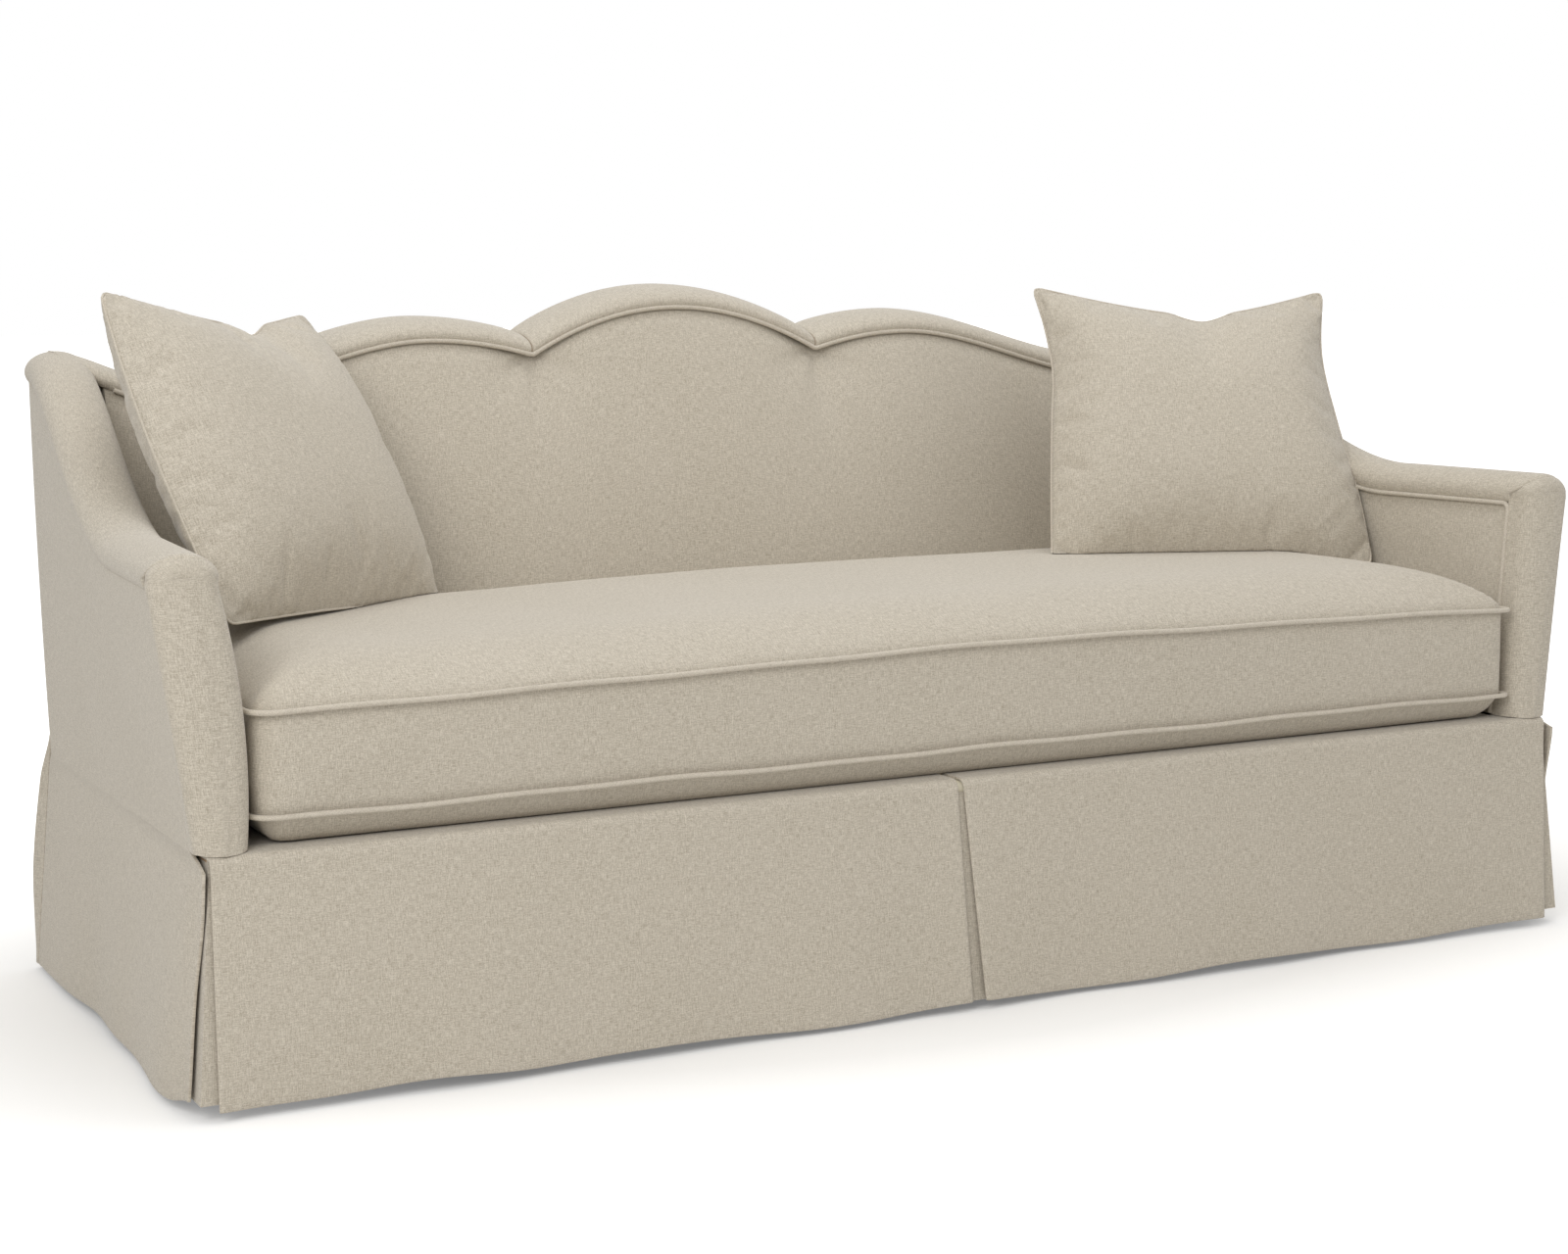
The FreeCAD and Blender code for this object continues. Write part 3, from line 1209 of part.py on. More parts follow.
insert_shrink = S.pillow_cloth + S.soft_clearance
for side_name, sign, gap, y, turn, tilt in (
    ("left", -1, S.pillow_left_gap, -S.pillow_left_y, S.pillow_left_turn, S.pillow_left_roll),
    ("right", 1, S.pillow_right_gap, -S.pillow_right_y, S.pillow_right_turn, S.pillow_right_roll),
):
    x = sign * (HALF_SEAT - gap - S.pillow_width / 2 * math.cos(math.radians(turn)))
    place = pillow_place(x, y, -sign * turn, tilt)
    hollow = pillow_form(S.pillow_cloth, S.pillow_seam)
    filling = pillow_form(insert_shrink, S.pillow_seam + S.soft_clearance * 2)
    title = side_name.capitalize()
    keep("Pillow" + title + "Cover", f"pillow_{side_name}_cover", pillow_form(0, 0).cut(hollow), place)
    keep("Pillow" + title + "Insert", f"pillow_{side_name}_insert", filling, place)

# Check and export
doc.recompute()
for item in doc.Objects:
    if "Invalid" in item.State or "Error" in item.State:
        raise RuntimeError(f"{item.Label} failed to build: {item.State}")
for node in nodes:
    if node.Shape.isNull() or not node.Shape.isValid() or node.Shape.Volume <= 0:
        raise RuntimeError(f"{node.Label} has no valid shape")
whole = FreeCAD.BoundBox()
for node in nodes:
    node.Shape.exportStep(f"parts/{node.Label}.step")
    whole.add(node.Shape.BoundBox)
    print(f"{node.Label}: {len(node.Shape.Solids)} solids, {len(node.Shape.Faces)} faces, {node.Shape.Volume / 1000:.1f} cm3")
print(f"{len(nodes)} nodes, box x {whole.XMin:.1f} {whole.XMax:.1f} y {whole.YMin:.1f} {whole.YMax:.1f} z {whole.ZMin:.1f} {whole.ZMax:.1f}")
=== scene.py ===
"""A three-seat sofa in oatmeal linen: scalloped rolled back, sloping arms, one bench cushion,
two loose pillows and a kick-pleated skirt to the floor. Metres, +Z up, +Y to the back."""
import logging
import math
from dataclasses import dataclass
from enum import Enum
from typing import Callable, Sequence

import bpy
import numpy as np
from mathutils import Matrix, Vector


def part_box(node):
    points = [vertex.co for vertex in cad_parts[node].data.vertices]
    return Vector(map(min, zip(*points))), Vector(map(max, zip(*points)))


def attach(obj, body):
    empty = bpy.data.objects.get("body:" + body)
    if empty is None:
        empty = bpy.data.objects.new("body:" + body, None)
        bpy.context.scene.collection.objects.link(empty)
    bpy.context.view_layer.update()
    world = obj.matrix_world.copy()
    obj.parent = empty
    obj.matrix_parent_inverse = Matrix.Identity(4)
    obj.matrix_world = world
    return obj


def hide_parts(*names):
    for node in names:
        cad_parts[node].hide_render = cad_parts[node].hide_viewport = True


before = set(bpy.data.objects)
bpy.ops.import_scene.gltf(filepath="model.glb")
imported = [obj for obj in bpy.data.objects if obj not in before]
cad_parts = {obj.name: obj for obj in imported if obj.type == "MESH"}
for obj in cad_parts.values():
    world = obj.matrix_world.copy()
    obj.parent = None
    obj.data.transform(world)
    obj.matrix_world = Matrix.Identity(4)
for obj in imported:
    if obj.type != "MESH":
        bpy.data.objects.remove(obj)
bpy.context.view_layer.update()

LOG = logging.getLogger("sofa")
Form = Callable[[float, float], Vector]
Socket = bpy.types.NodeSocket
Colour = tuple[float, float, float]
Curve = tuple[tuple[float, float], ...]
LEFT, FRONT, UP = Vector((-1, 0, 0)), Vector((0, -1, 0)), Vector((0, 0, 1))
THIN_CLOTH = 0.003


# Numbers and small curves
def mix(start: float, end: float, share: float) -> float:
    """The value a share of the way from start to end."""
    return start + (end - start) * share


def clamp(value: float, low: float = 0.0, high: float = 1.0) -> float:
    """The value kept between low and high."""
    return max(low, min(high, value))


def ease(share: float) -> float:
    """A share that starts and ends gently."""
    share = clamp(share)
    return share * share * (3 - 2 * share)


def bump(distance: float, width: float) -> float:
    """A soft bell, 1 at no distance and near 0 past two widths."""
    return math.exp(-((distance / width) ** 2))


def spread(start: float, end: float, count: int) -> list[float]:
    """Evenly spaced values.

    Args:
        start: The first value.
        end: The last value.
        count: How many values, at least two.

    Returns:
        The values in order.
    """
    return [mix(start, end, index / (count - 1)) for index in range(count)]


def along(points: Sequence[tuple[float, float]], at: float) -> float:
    """A smooth curve through points, read at one place.

    Args:
        points: Pairs of place and value, in order of place.
        at: Where the curve is read.

    Returns:
        The value there, held level beyond both ends.
    """
    if at <= points[0][0]:
        return points[0][1]
    if at >= points[-1][0]:
        return points[-1][1]
    index = max(i for i, point in enumerate(points) if point[0] <= at)
    (x1, y1), (x2, y2) = points[index], points[index + 1]
    x0, y0 = points[index - 1] if index else (2 * x1 - x2, 2 * y1 - y2)
    x3, y3 = points[index + 2] if index + 2 < len(points) else (2 * x2 - x1, 2 * y2 - y1)
    step = x2 - x1
    start, end = (y2 - y0) / (x2 - x0) * step, (y3 - y1) / (x3 - x1) * step
    t = (at - x1) / step
    return (
        (2 * t**3 - 3 * t**2 + 1) * y1
        + (t**3 - 2 * t**2 + t) * start
        + (3 * t**2 - 2 * t**3) * y2
        + (t**3 - t**2) * end
    )


def rounded(first: float, second: float, radius: float) -> tuple[float, float]:
    """Rounds a square corner.

    Args:
        first: Distance from one edge.
        second: Distance from the other edge.
        radius: The corner's radius.

    Returns:
        How far the place moves away from each edge.
    """
    if first >= radius or second >= radius:
        return 0.0, 0.0
    one, two = radius - first, radius - second
    share = 1 - max(one, two) / math.hypot(one, two)
    return one * share, two * share


# Hand work that many pieces share
class Bench:
    """Steps of modelling that are the same for every piece."""

    @staticmethod
    def clear() -> None:
        """Nothing stays selected, and nothing is in edit mode."""
        if bpy.context.object and bpy.context.object.mode != "OBJECT":
            bpy.ops.object.mode_set(mode="OBJECT")
        bpy.ops.object.select_all(action="DESELECT")

    @staticmethod
    def pick(*pieces: bpy.types.Object) -> None:
        """Only these pieces are selected, and the first is active.

        Args:
            *pieces: The pieces, the active one first.
        """
        Bench.clear()
        for piece in pieces:
            piece.select_set(True)
        bpy.context.view_layer.objects.active = pieces[0]

    @staticmethod
    def skin(name: str, form: Form, columns: Sequence[float], rows: Sequence[float]) -> bpy.types.Object:
        """A grid laid over a form, with its weave measured in metres.

        Args:
            name: The piece's name.
            form: Gives the point of the surface at a column's and a row's value.
            columns: Values across the grid.
            rows: Values along the grid.

        Returns:
            The new piece.
        """
        Bench.clear()
        wide, tall = len(columns), len(rows)
        bpy.ops.mesh.primitive_grid_add(x_subdivisions=wide - 1, y_subdivisions=tall - 1, size=1)
        piece = bpy.context.object
        piece.name = piece.data.name = name
        spots = np.empty((len(piece.data.vertices), 3))
        piece.data.vertices.foreach_get("co", spots.ravel())
        places = np.rint((spots[:, :2] + 0.5) * (wide - 1, tall - 1)).astype(int)
        table = np.array([[form(u, v) for v in rows] for u in columns])
        piece.data.vertices.foreach_set("co", table[places[:, 0], places[:, 1]].ravel())
        across = np.linalg.norm(np.diff(table, axis=0), axis=2).mean(axis=1)
        down = np.linalg.norm(np.diff(table, axis=1), axis=2).mean(axis=0)
        across, down = np.insert(np.cumsum(across), 0, 0), np.insert(np.cumsum(down), 0, 0)
        layer = piece.data.uv_layers.active or piece.data.uv_layers.new(name="Weave")
        layer.name = "Weave"
        for loop in piece.data.loops:
            i, j = places[loop.vertex_index]
            layer.data[loop.index].uv = (across[i], down[j])
        piece.data.update()
        return piece

    @staticmethod
    def reshape(piece: bpy.types.Object, move: Callable[[Vector], Vector]) -> None:
        """Every vertex goes where move sends it.

        Args:
            piece: The piece to shape.
            move: Gives a vertex's new place.
        """
        for vertex in piece.data.vertices:
            vertex.co = move(vertex.co.copy())
        piece.data.update()

    @staticmethod
    def edit(piece: bpy.types.Object, *steps: Callable[[], object]) -> None:
        """Does steps to a piece in edit mode, with all of it selected at first.

        Args:
            piece: The piece.
            *steps: What is done, in order.
        """
        Bench.pick(piece)
        bpy.ops.object.mode_set(mode="EDIT")
        Bench.select_whole()
        for step in steps:
            step()
        bpy.ops.object.mode_set(mode="OBJECT")

    @staticmethod
    def select_whole() -> None:
        """In edit mode, the whole mesh is selected."""
        bpy.ops.mesh.select_all(action="SELECT")

    @staticmethod
    def turn_outwards() -> None:
        """In edit mode, the faces of a closed shape turn outwards."""
        bpy.ops.mesh.normals_make_consistent(inside=False)

    @staticmethod
    def merge(piece: bpy.types.Object, distance: float = 0.0002) -> None:
        """Vertices in one place become one."""
        Bench.edit(piece, lambda: bpy.ops.mesh.remove_doubles(threshold=distance))

    @staticmethod
    def close_ends(piece: bpy.types.Object) -> None:
        """Open ends are filled, and the faces point outwards.

        Args:
            piece: A tube with open ends.
        """

        def fill() -> None:
            """In edit mode, a face fills the open edges."""
            bpy.ops.mesh.select_all(action="DESELECT")
            bpy.ops.mesh.select_mode(type="EDGE")
            bpy.ops.mesh.select_non_manifold(
                extend=False, use_wire=False, use_multi_face=False, use_non_contiguous=False, use_verts=False
            )
            bpy.ops.mesh.edge_face_add()

        Bench.edit(piece, fill, Bench.select_whole, Bench.turn_outwards)

    @staticmethod
    def seal(piece: bpy.types.Object, distance: float = 0.0001) -> None:
        """A closed shape's seam is stitched, its holes filled and its faces turned outwards."""
        Bench.merge(piece, distance)
        Bench.edit(piece, lambda: bpy.ops.mesh.fill_holes(sides=0), Bench.select_whole, Bench.turn_outwards)

    @staticmethod
    def face_towards(piece: bpy.types.Object, outward: Vector) -> None:
        """An open cloth's faces look to one side on the whole.

        Args:
            piece: The open cloth.
            outward: The side that its outer face looks to.
        """
        total = Vector((0, 0, 0))
        for face in piece.data.polygons:
            total += face.normal * face.area
        if total.dot(outward) < 0:
            Bench.edit(piece, bpy.ops.mesh.flip_normals)

    @staticmethod
    def modify(piece: bpy.types.Object, kind: str, **values: object) -> None:
        """Adds a modifier, sets its values and applies it.

        Args:
            piece: The piece.
            kind: The modifier's type.
            **values: Its properties by name.
        """
        Bench.pick(piece)
        bpy.ops.object.modifier_add(type=kind)
        modifier = piece.modifiers[-1]
        for name, value in values.items():
            setattr(modifier, name, value)
        bpy.ops.object.modifier_apply(modifier=modifier.name)

    @staticmethod
    def thicken(piece: bpy.types.Object, thickness: float) -> None:
        """An open cloth gets its thickness on the inner side, and thick edges are rounded.

        Args:
            piece: The open cloth.
            thickness: Its thickness.
        """
        Bench.modify(piece, "SOLIDIFY", thickness=thickness, offset=-1)
        if thickness > THIN_CLOTH:
            Bench.modify(
                piece,
                "BEVEL",
                width=min(0.0016, thickness * 0.42),
                segments=2,
                limit_method="ANGLE",
                angle_limit=math.radians(55),
                use_clamp_overlap=True,
            )

    @staticmethod
    def cloth(
        name: str,
        form: Form,
        columns: Sequence[float],
        rows: Sequence[float],
        outward: Vector,
        thickness: float,
        degrees: float = 50,
    ) -> bpy.types.Object:
        """An open cloth laid over a form, with its thickness on the inner side.

        Args:
            name: The piece's name.
            form: Gives a point of its outer face.
            columns: Values across the grid.
            rows: Values along the grid.
            outward: The side that its outer face looks to.
            thickness: Its thickness.
            degrees: The angle up to which it is shaded smooth.

        Returns:
            The new piece.
        """
        piece = Bench.skin(name, form, columns, rows)
        Bench.face_towards(piece, outward)
        Bench.thicken(piece, thickness)
        Bench.smooth(piece, degrees)
        return piece

    @staticmethod
    def smooth(piece: bpy.types.Object, degrees: float = 50) -> None:
        """Smooth shading up to an angle."""
        Bench.pick(piece)
        bpy.ops.object.shade_smooth_by_angle(angle=math.radians(degrees))

    @staticmethod
    def join(name: str, pieces: Sequence[bpy.types.Object], stitch: bool = True) -> bpy.types.Object:
        """Several pieces become one.

        Args:
            name: The joined piece's name.
            pieces: The pieces.
            stitch: Whether they are stitched where they touch.

        Returns:
            The joined piece.
        """
        Bench.pick(*pieces)
        bpy.ops.object.join()
        piece = bpy.context.object
        piece.name = piece.data.name = name
        if stitch:
            Bench.merge(piece)
        return piece

    @staticmethod
    def mirrored(piece: bpy.types.Object, name: str) -> bpy.types.Object:
        """A copy of its own mesh on the other side of the sofa.

        Args:
            piece: The piece on one side.
            name: The copy's name.

        Returns:
            The copy, facing outwards.
        """
        Bench.pick(piece)
        bpy.ops.object.duplicate(linked=False)
        copy = bpy.context.object
        copy.name = copy.data.name = name
        copy.scale.x = -1
        bpy.ops.object.transform_apply(location=False, rotation=False, scale=True)
        Bench.edit(copy, bpy.ops.mesh.flip_normals)
        return copy

    @staticmethod
    def piping(name: str, route: Sequence[Vector], radius: float, closed: bool = False) -> bpy.types.Object:
        """A round cord covered in cloth along a route.

        Args:
            name: The piece's name.
            route: Points along its middle, close together.
            radius: Its radius.
            closed: Whether the route comes back to its start.

        Returns:
            The new piece.
        """
        points = [Vector(point) for point in route]
        count = len(points)
        side = None
        rings: list[tuple[Vector, Vector]] = []
        for index, point in enumerate(points):
            before = points[index - 1] if index or closed else point
            after = points[(index + 1) % count] if index < count - 1 or closed else point
            run = (after - before).normalized()
            side = run.orthogonal() if side is None else side - run * side.dot(run)
            side.normalize()
            rings.append((side.copy(), run.cross(side)))

        def form(turn: float, place: float) -> Vector:
            """A point on the cord's skin.

            Args:
                turn: Share of a turn round the cord.
                place: Which point of the route.

            Returns:
                The point of the surface.
            """
            index = int(round(place)) % count
            across, up = rings[index]
            angle = 2 * math.pi * turn
            return points[index] + (across * math.cos(angle) + up * math.sin(angle)) * radius

        last = count if closed else count - 1
        piece = Bench.skin(name, form, spread(0, 1, 11), [float(i) for i in range(last + 1)])
        Bench.merge(piece, radius / 20)
        if closed:
            Bench.edit(piece, Bench.turn_outwards)
        else:
            Bench.close_ends(piece)
        Bench.smooth(piece)
        return piece

    @staticmethod
    def inflate(
        piece: bpy.types.Object,
        pressure: float,
        frames: int,
        limit: float,
        shrink: float = 0.0,
        pinned: str = "",
    ) -> None:
        """The cover is blown up as cloth, and no point moves further than a limit.

        Args:
            piece: The closed cover.
            pressure: Pressure inside it.
            frames: Steps of the simulation.
            limit: The furthest that a point may move.
            shrink: Share by which the cloth draws in.
            pinned: The vertex group that stays where it is.
        """
        Bench.pick(piece)
        start = np.empty((len(piece.data.vertices), 3))
        piece.data.vertices.foreach_get("co", start.ravel())
        bpy.ops.object.modifier_add(type="CLOTH")
        modifier = piece.modifiers[-1]
        settings = modifier.settings
        settings.quality = 6
        settings.mass = 0.25
        settings.tension_stiffness = settings.compression_stiffness = 18
        settings.shear_stiffness = 6
        settings.bending_stiffness = 1.2
        settings.use_pressure = True
        settings.uniform_pressure_force = pressure
        settings.shrink_min = shrink
        settings.effector_weights.gravity = 0
        if pinned:
            settings.vertex_group_mass = pinned
        modifier.collision_settings.use_collision = False
        modifier.collision_settings.use_self_collision = False
        modifier.point_cache.frame_start, modifier.point_cache.frame_end = 1, frames
        scene = bpy.context.scene
        for moment in range(1, frames + 1):
            scene.frame_set(moment)
        bpy.ops.object.modifier_apply(modifier=modifier.name)
        end = np.empty_like(start)
        piece.data.vertices.foreach_get("co", end.ravel())
        step = end - start
        length = np.linalg.norm(step, axis=1, keepdims=True)
        kept = step * (limit * np.tanh(length / limit) / np.maximum(length, 1e-9))
        piece.data.vertices.foreach_set("co", (start + kept).ravel())
        piece.data.update()
        scene.frame_set(1)

    @staticmethod
    def paint_seam_shade(piece: bpy.types.Object, depth: Callable[[Vector], float]) -> None:
        """Writes how much painted shade darkens each point in a seam or crease, from 0 to 1."""
        layer = piece.data.attributes.get("seam_shade") or piece.data.attributes.new("seam_shade", "FLOAT", "POINT")
        layer.data.foreach_set("value", [clamp(depth(vertex.co)) for vertex in piece.data.vertices])


# Finishes
class Nodes:
    """A node tree with short words for what every finish needs."""

    def __init__(self, tree: bpy.types.NodeTree) -> None:
        """Args: tree: The tree that the nodes go into."""
        self.tree = tree

    def add(self, kind: str, **values: object) -> bpy.types.Node:
        """A node of a kind with properties and input values.

        Args:
            kind: The node's type.
            **values: Properties by name, or inputs by name with spaces as underscores.

        Returns:
            The node.
        """
        node = self.tree.nodes.new(kind)
        for name, value in values.items():
            if hasattr(node, name):
                setattr(node, name, value)
                continue
            numbered = name[0] == "i" and name[1:].isdigit()
            self.feed(node.inputs[int(name[1:]) if numbered else name.replace("_", " ")], value)
        return node

    def feed(self, socket: Socket, value: object) -> None:
        """Links an output to a socket, or sets the socket's value.

        Args:
            socket: The input.
            value: An output to link, or the input's value.
        """
        if isinstance(value, bpy.types.NodeSocket):
            self.tree.links.new(value, socket)
        else:
            socket.default_value = value

    def math(self, operation: str, first: object, second: object = 0.0) -> Socket:
        """One step of arithmetic."""
        return self.add("ShaderNodeMath", operation=operation, i0=first, i1=second).outputs[0]

    def blend(self, share: object, first: object, second: object) -> Socket:
        """Two colours mixed.

        Args:
            share: Share of the second colour.
            first: First colour.
            second: Second colour.

        Returns:
            The mixed colour.
        """
        node = self.add("ShaderNodeMix", data_type="RGBA", blend_type="MIX")
        self.feed(node.inputs[0], share)
        self.feed(node.inputs[6], first)
        self.feed(node.inputs[7], second)
        return node.outputs[2]

    def noise(self, vector: Socket, scale: float, detail: float, roughness: float, **more: float) -> Socket:
        """Noise of one size, read along a vector.

        Args:
            vector: Where the noise is read.
            scale: Its scale.
            detail: Its detail.
            roughness: Its roughness.
            **more: Other inputs by name.

        Returns:
            The noise, from 0 to 1.
        """
        values = {"Vector": vector, "Scale": scale, "Detail": detail, "Roughness": roughness, **more}
        return self.add("ShaderNodeTexNoise", **values).outputs[0]

    def ramp(
        self, value: object, low: float, high: float, to_low: float = 0.0, to_high: float = 1.0
    ) -> Socket:
        """A value stretched from one range to another and held inside it.

        Args:
            value: The value.
            low: Where the range starts.
            high: Where it ends.
            to_low: Result at its start.
            to_high: Result at its end.

        Returns:
            The stretched value.
        """
        node = self.add("ShaderNodeMapRange", clamp=True)
        for index, item in enumerate((value, low, high, to_low, to_high)):
            self.feed(node.inputs[index], item)
        return node.outputs[0]


def group(
    name: str, inputs: Sequence[tuple[str, str, object]], outputs: Sequence[tuple[str, str]]
) -> tuple[Nodes, bpy.types.Node, bpy.types.Node]:
    """An empty shader group with its sockets.

    Args:
        name: The group's name.
        inputs: Name, socket type and default of each input.
        outputs: Name and socket type of each output.

    Returns:
        The tree's nodes, its input node and its output node.
    """
    tree = bpy.data.node_groups.new(name, "ShaderNodeTree")
    for label, kind, value in inputs:
        socket = tree.interface.new_socket(label, in_out="INPUT", socket_type=kind)
        if value is not None:
            socket.default_value = value
    for label, kind in outputs:
        tree.interface.new_socket(label, in_out="OUTPUT", socket_type=kind)
    nodes = Nodes(tree)
    return nodes, nodes.add("NodeGroupInput"), nodes.add("NodeGroupOutput")


def weave_group() -> bpy.types.NodeTree:
    """Plain weave of uneven yarns: each yarn has its own tone, thick places and fuzz.

    Returns:
        The group, with Vector, Pitch, Slub and the share of painted seam shade in, and Tone, Height and Worn
        out.
    """
    nodes, entry, leave = group(
        "UnevenWeave",
        [
            ("Vector", "NodeSocketVector", None),
            ("Pitch", "NodeSocketFloat", 0.0009),
            ("Slub", "NodeSocketFloat", 1.0),
            ("SeamShade", "NodeSocketFloat", 0.0),
        ],
        [("Tone", "NodeSocketFloat"), ("Height", "NodeSocketFloat"), ("Worn", "NodeSocketFloat")],
    )
    vector, pitch = entry.outputs["Vector"], entry.outputs["Pitch"]
    split = nodes.add("ShaderNodeSeparateXYZ", Vector=vector)
    tones, ridges, numbers = [], [], []
    for own, other in ((0, 1), (1, 0)):
        yarn = nodes.math("DIVIDE", split.outputs[own], pitch)
        run = nodes.math("DIVIDE", split.outputs[other], pitch)
        number = nodes.math("FLOOR", yarn)
        numbers.append(number)
        wander = nodes.add(
            "ShaderNodeCombineXYZ",
            X=nodes.math("MULTIPLY", number, 0.731 + 0.11 * own),
            Y=nodes.math("MULTIPLY", run, 0.035),
            Z=float(own * 7),
        )
        tones.append(nodes.noise(wander.outputs[0], 1.0, 2.0, 0.6))
        step = nodes.math("ADD", yarn, nodes.math("FLOOR", run))
        ridges.append(nodes.math("ABSOLUTE", nodes.math("SINE", nodes.math("MULTIPLY", step, math.pi))))
    parity = nodes.math("PINGPONG", nodes.math("ADD", *numbers), 1.0)
    tone = nodes.add("ShaderNodeMix", data_type="FLOAT")
    nodes.feed(tone.inputs[0], parity)
    nodes.feed(tone.inputs[2], tones[0])
    nodes.feed(tone.inputs[3], tones[1])
    shade = tone.outputs[0]
    for stretch, scale, weight in (((1.0, 9.0, 1.0), 108.0, 0.34), ((9.0, 1.0, 1.0), 100.0, 0.37)):
        place = nodes.add("ShaderNodeMapping", Vector=vector)
        place.inputs["Scale"].default_value = stretch
        streak = nodes.ramp(nodes.noise(place.outputs[0], scale, 3.0, 0.65), 0.3, 0.7, -weight, weight)
        shade = nodes.math("ADD", shade, nodes.math("MULTIPLY", streak, entry.outputs["Slub"]))
    fuzz = nodes.noise(vector, 640.0, 2.0, 0.75)
    shade = nodes.math("ADD", shade, nodes.ramp(fuzz, 0.3, 0.7, -0.34, 0.34))
    worn = nodes.ramp(nodes.noise(vector, 5.0, 3.0, 0.5), 0.3, 0.7)
    relief = nodes.math("MULTIPLY", nodes.math("ADD", ridges[0], ridges[1]), 0.5)
    relief = nodes.math("ADD", relief, nodes.math("MULTIPLY", shade, 0.5))
    # Painted shade: seams and creases make the tone darker.
    seam_shade_tone = nodes.math("MULTIPLY", entry.outputs["SeamShade"], 0.2)
    nodes.feed(leave.inputs["Tone"], nodes.math("SUBTRACT", shade, seam_shade_tone))
    nodes.feed(leave.inputs["Height"], relief)
    nodes.feed(leave.inputs["Worn"], worn)
    return nodes.tree


def new_finish(name: str) -> tuple[bpy.types.Material, Nodes, bpy.types.Node]:
    """A new material with its nodes and its shader.

    Args:
        name: The material's name.

    Returns:
        The material, its nodes and its shader.
    """
    material = bpy.data.materials.new(name)
    material.use_nodes = True
    return material, Nodes(material.node_tree), material.node_tree.nodes["Principled BSDF"]


@dataclass(frozen=True)
class Linen:
    """Heathered linen with a fine plain weave, and painted shade in its seams and creases."""

    name: str
    pale: Colour = (0.635, 0.580, 0.485)
    deep: Colour = (0.385, 0.338, 0.266)
    # groove: the dark brown of the painted shade in seams and creases
    groove: Colour = (0.200, 0.140, 0.085)
    cloud: Colour = (0.66, 0.60, 0.53)
    pitch: float = 0.0010
    slub: float = 1.0
    turn: float = 0.0
    relief: float = 0.00018
    sheen: float = 0.25
    roughness: float = 0.86

    def material(self, weave: bpy.types.NodeTree) -> bpy.types.Material:
        """Builds the material.

        Args:
            weave: The shared weave group.

        Returns:
            The material.
        """
        material, nodes, shader = new_finish(self.name)
        uv = nodes.add("ShaderNodeUVMap", uv_map="Weave")
        place = nodes.add("ShaderNodeMapping", Vector=uv.outputs[0])
        place.inputs["Rotation"].default_value = (0, 0, self.turn)
        # How much painted seam shade each point takes, written on the piece.
        seam_shade = nodes.add("ShaderNodeAttribute", attribute_name="seam_shade", attribute_type="GEOMETRY")
        cloth = nodes.add("ShaderNodeGroup", node_tree=weave)
        nodes.feed(cloth.inputs["Vector"], place.outputs[0])
        nodes.feed(cloth.inputs["Pitch"], self.pitch)
        nodes.feed(cloth.inputs["Slub"], self.slub)
        nodes.feed(cloth.inputs["SeamShade"], seam_shade.outputs["Fac"])
        tone = nodes.ramp(cloth.outputs["Tone"], 0.1, 0.9)
        colour = nodes.blend(tone, (*self.deep, 1), (*self.pale, 1))
        cloudy = nodes.blend(nodes.math("MULTIPLY", cloth.outputs["Worn"], 0.10), colour, (*self.cloud, 1))
        # Painted shade: seams and creases blend towards the dark groove colour.
        nodes.feed(shader.inputs["Base Color"], nodes.blend(seam_shade.outputs["Fac"], cloudy, (*self.groove, 1)))
        rough = nodes.ramp(cloth.outputs["Tone"], 0.0, 1.0, self.roughness + 0.08, self.roughness - 0.06)
        nodes.feed(shader.inputs["Roughness"], rough)
        relief = nodes.add("ShaderNodeBump", Height=cloth.outputs["Height"], Distance=self.relief)
        relief.inputs["Strength"].default_value = 0.8
        nodes.feed(shader.inputs["Normal"], relief.outputs[0])
        shader.inputs["Sheen Weight"].default_value = self.sheen
        shader.inputs["Sheen Roughness"].default_value = 0.45
        shader.inputs["Specular IOR Level"].default_value = 0.2
        return material


@dataclass(frozen=True)
class Wood:
    """Hardwood with long grain along one axis of the piece."""

    name: str
    early: Colour
    late: Colour
    stretch: tuple[float, float, float] = (1.5, 22.0, 22.0)
    roughness: float = 0.62
    coat: float = 0.0

    def material(self) -> bpy.types.Material:
        """Builds the material.

        Returns:
            The material.
        """
        material, nodes, shader = new_finish(self.name)
        spot = nodes.add("ShaderNodeTexCoord")
        place = nodes.add("ShaderNodeMapping", Vector=spot.outputs["Object"])
        place.inputs["Scale"].default_value = self.stretch
        grain = nodes.noise(place.outputs[0], 6.0, 6.0, 0.6, Distortion=0.6)
        pores = nodes.noise(place.outputs[0], 60.0, 2.0, 0.5)
        share = nodes.ramp(grain, 0.32, 0.68)
        colour = nodes.blend(share, (*self.early, 1), (*self.late, 1))
        dark = nodes.ramp(pores, 0.55, 0.72, 0.0, 0.35)
        pore = tuple(part * 0.45 for part in self.late)
        nodes.feed(shader.inputs["Base Color"], nodes.blend(dark, colour, (*pore, 1)))
        rough = nodes.ramp(share, 0, 1, self.roughness + 0.08, self.roughness - 0.05)
        nodes.feed(shader.inputs["Roughness"], rough)
        relief = nodes.add("ShaderNodeBump", Height=share, Distance=0.0004)
        nodes.feed(shader.inputs["Normal"], relief.outputs[0])
        shader.inputs["Coat Weight"].default_value = self.coat
        return material


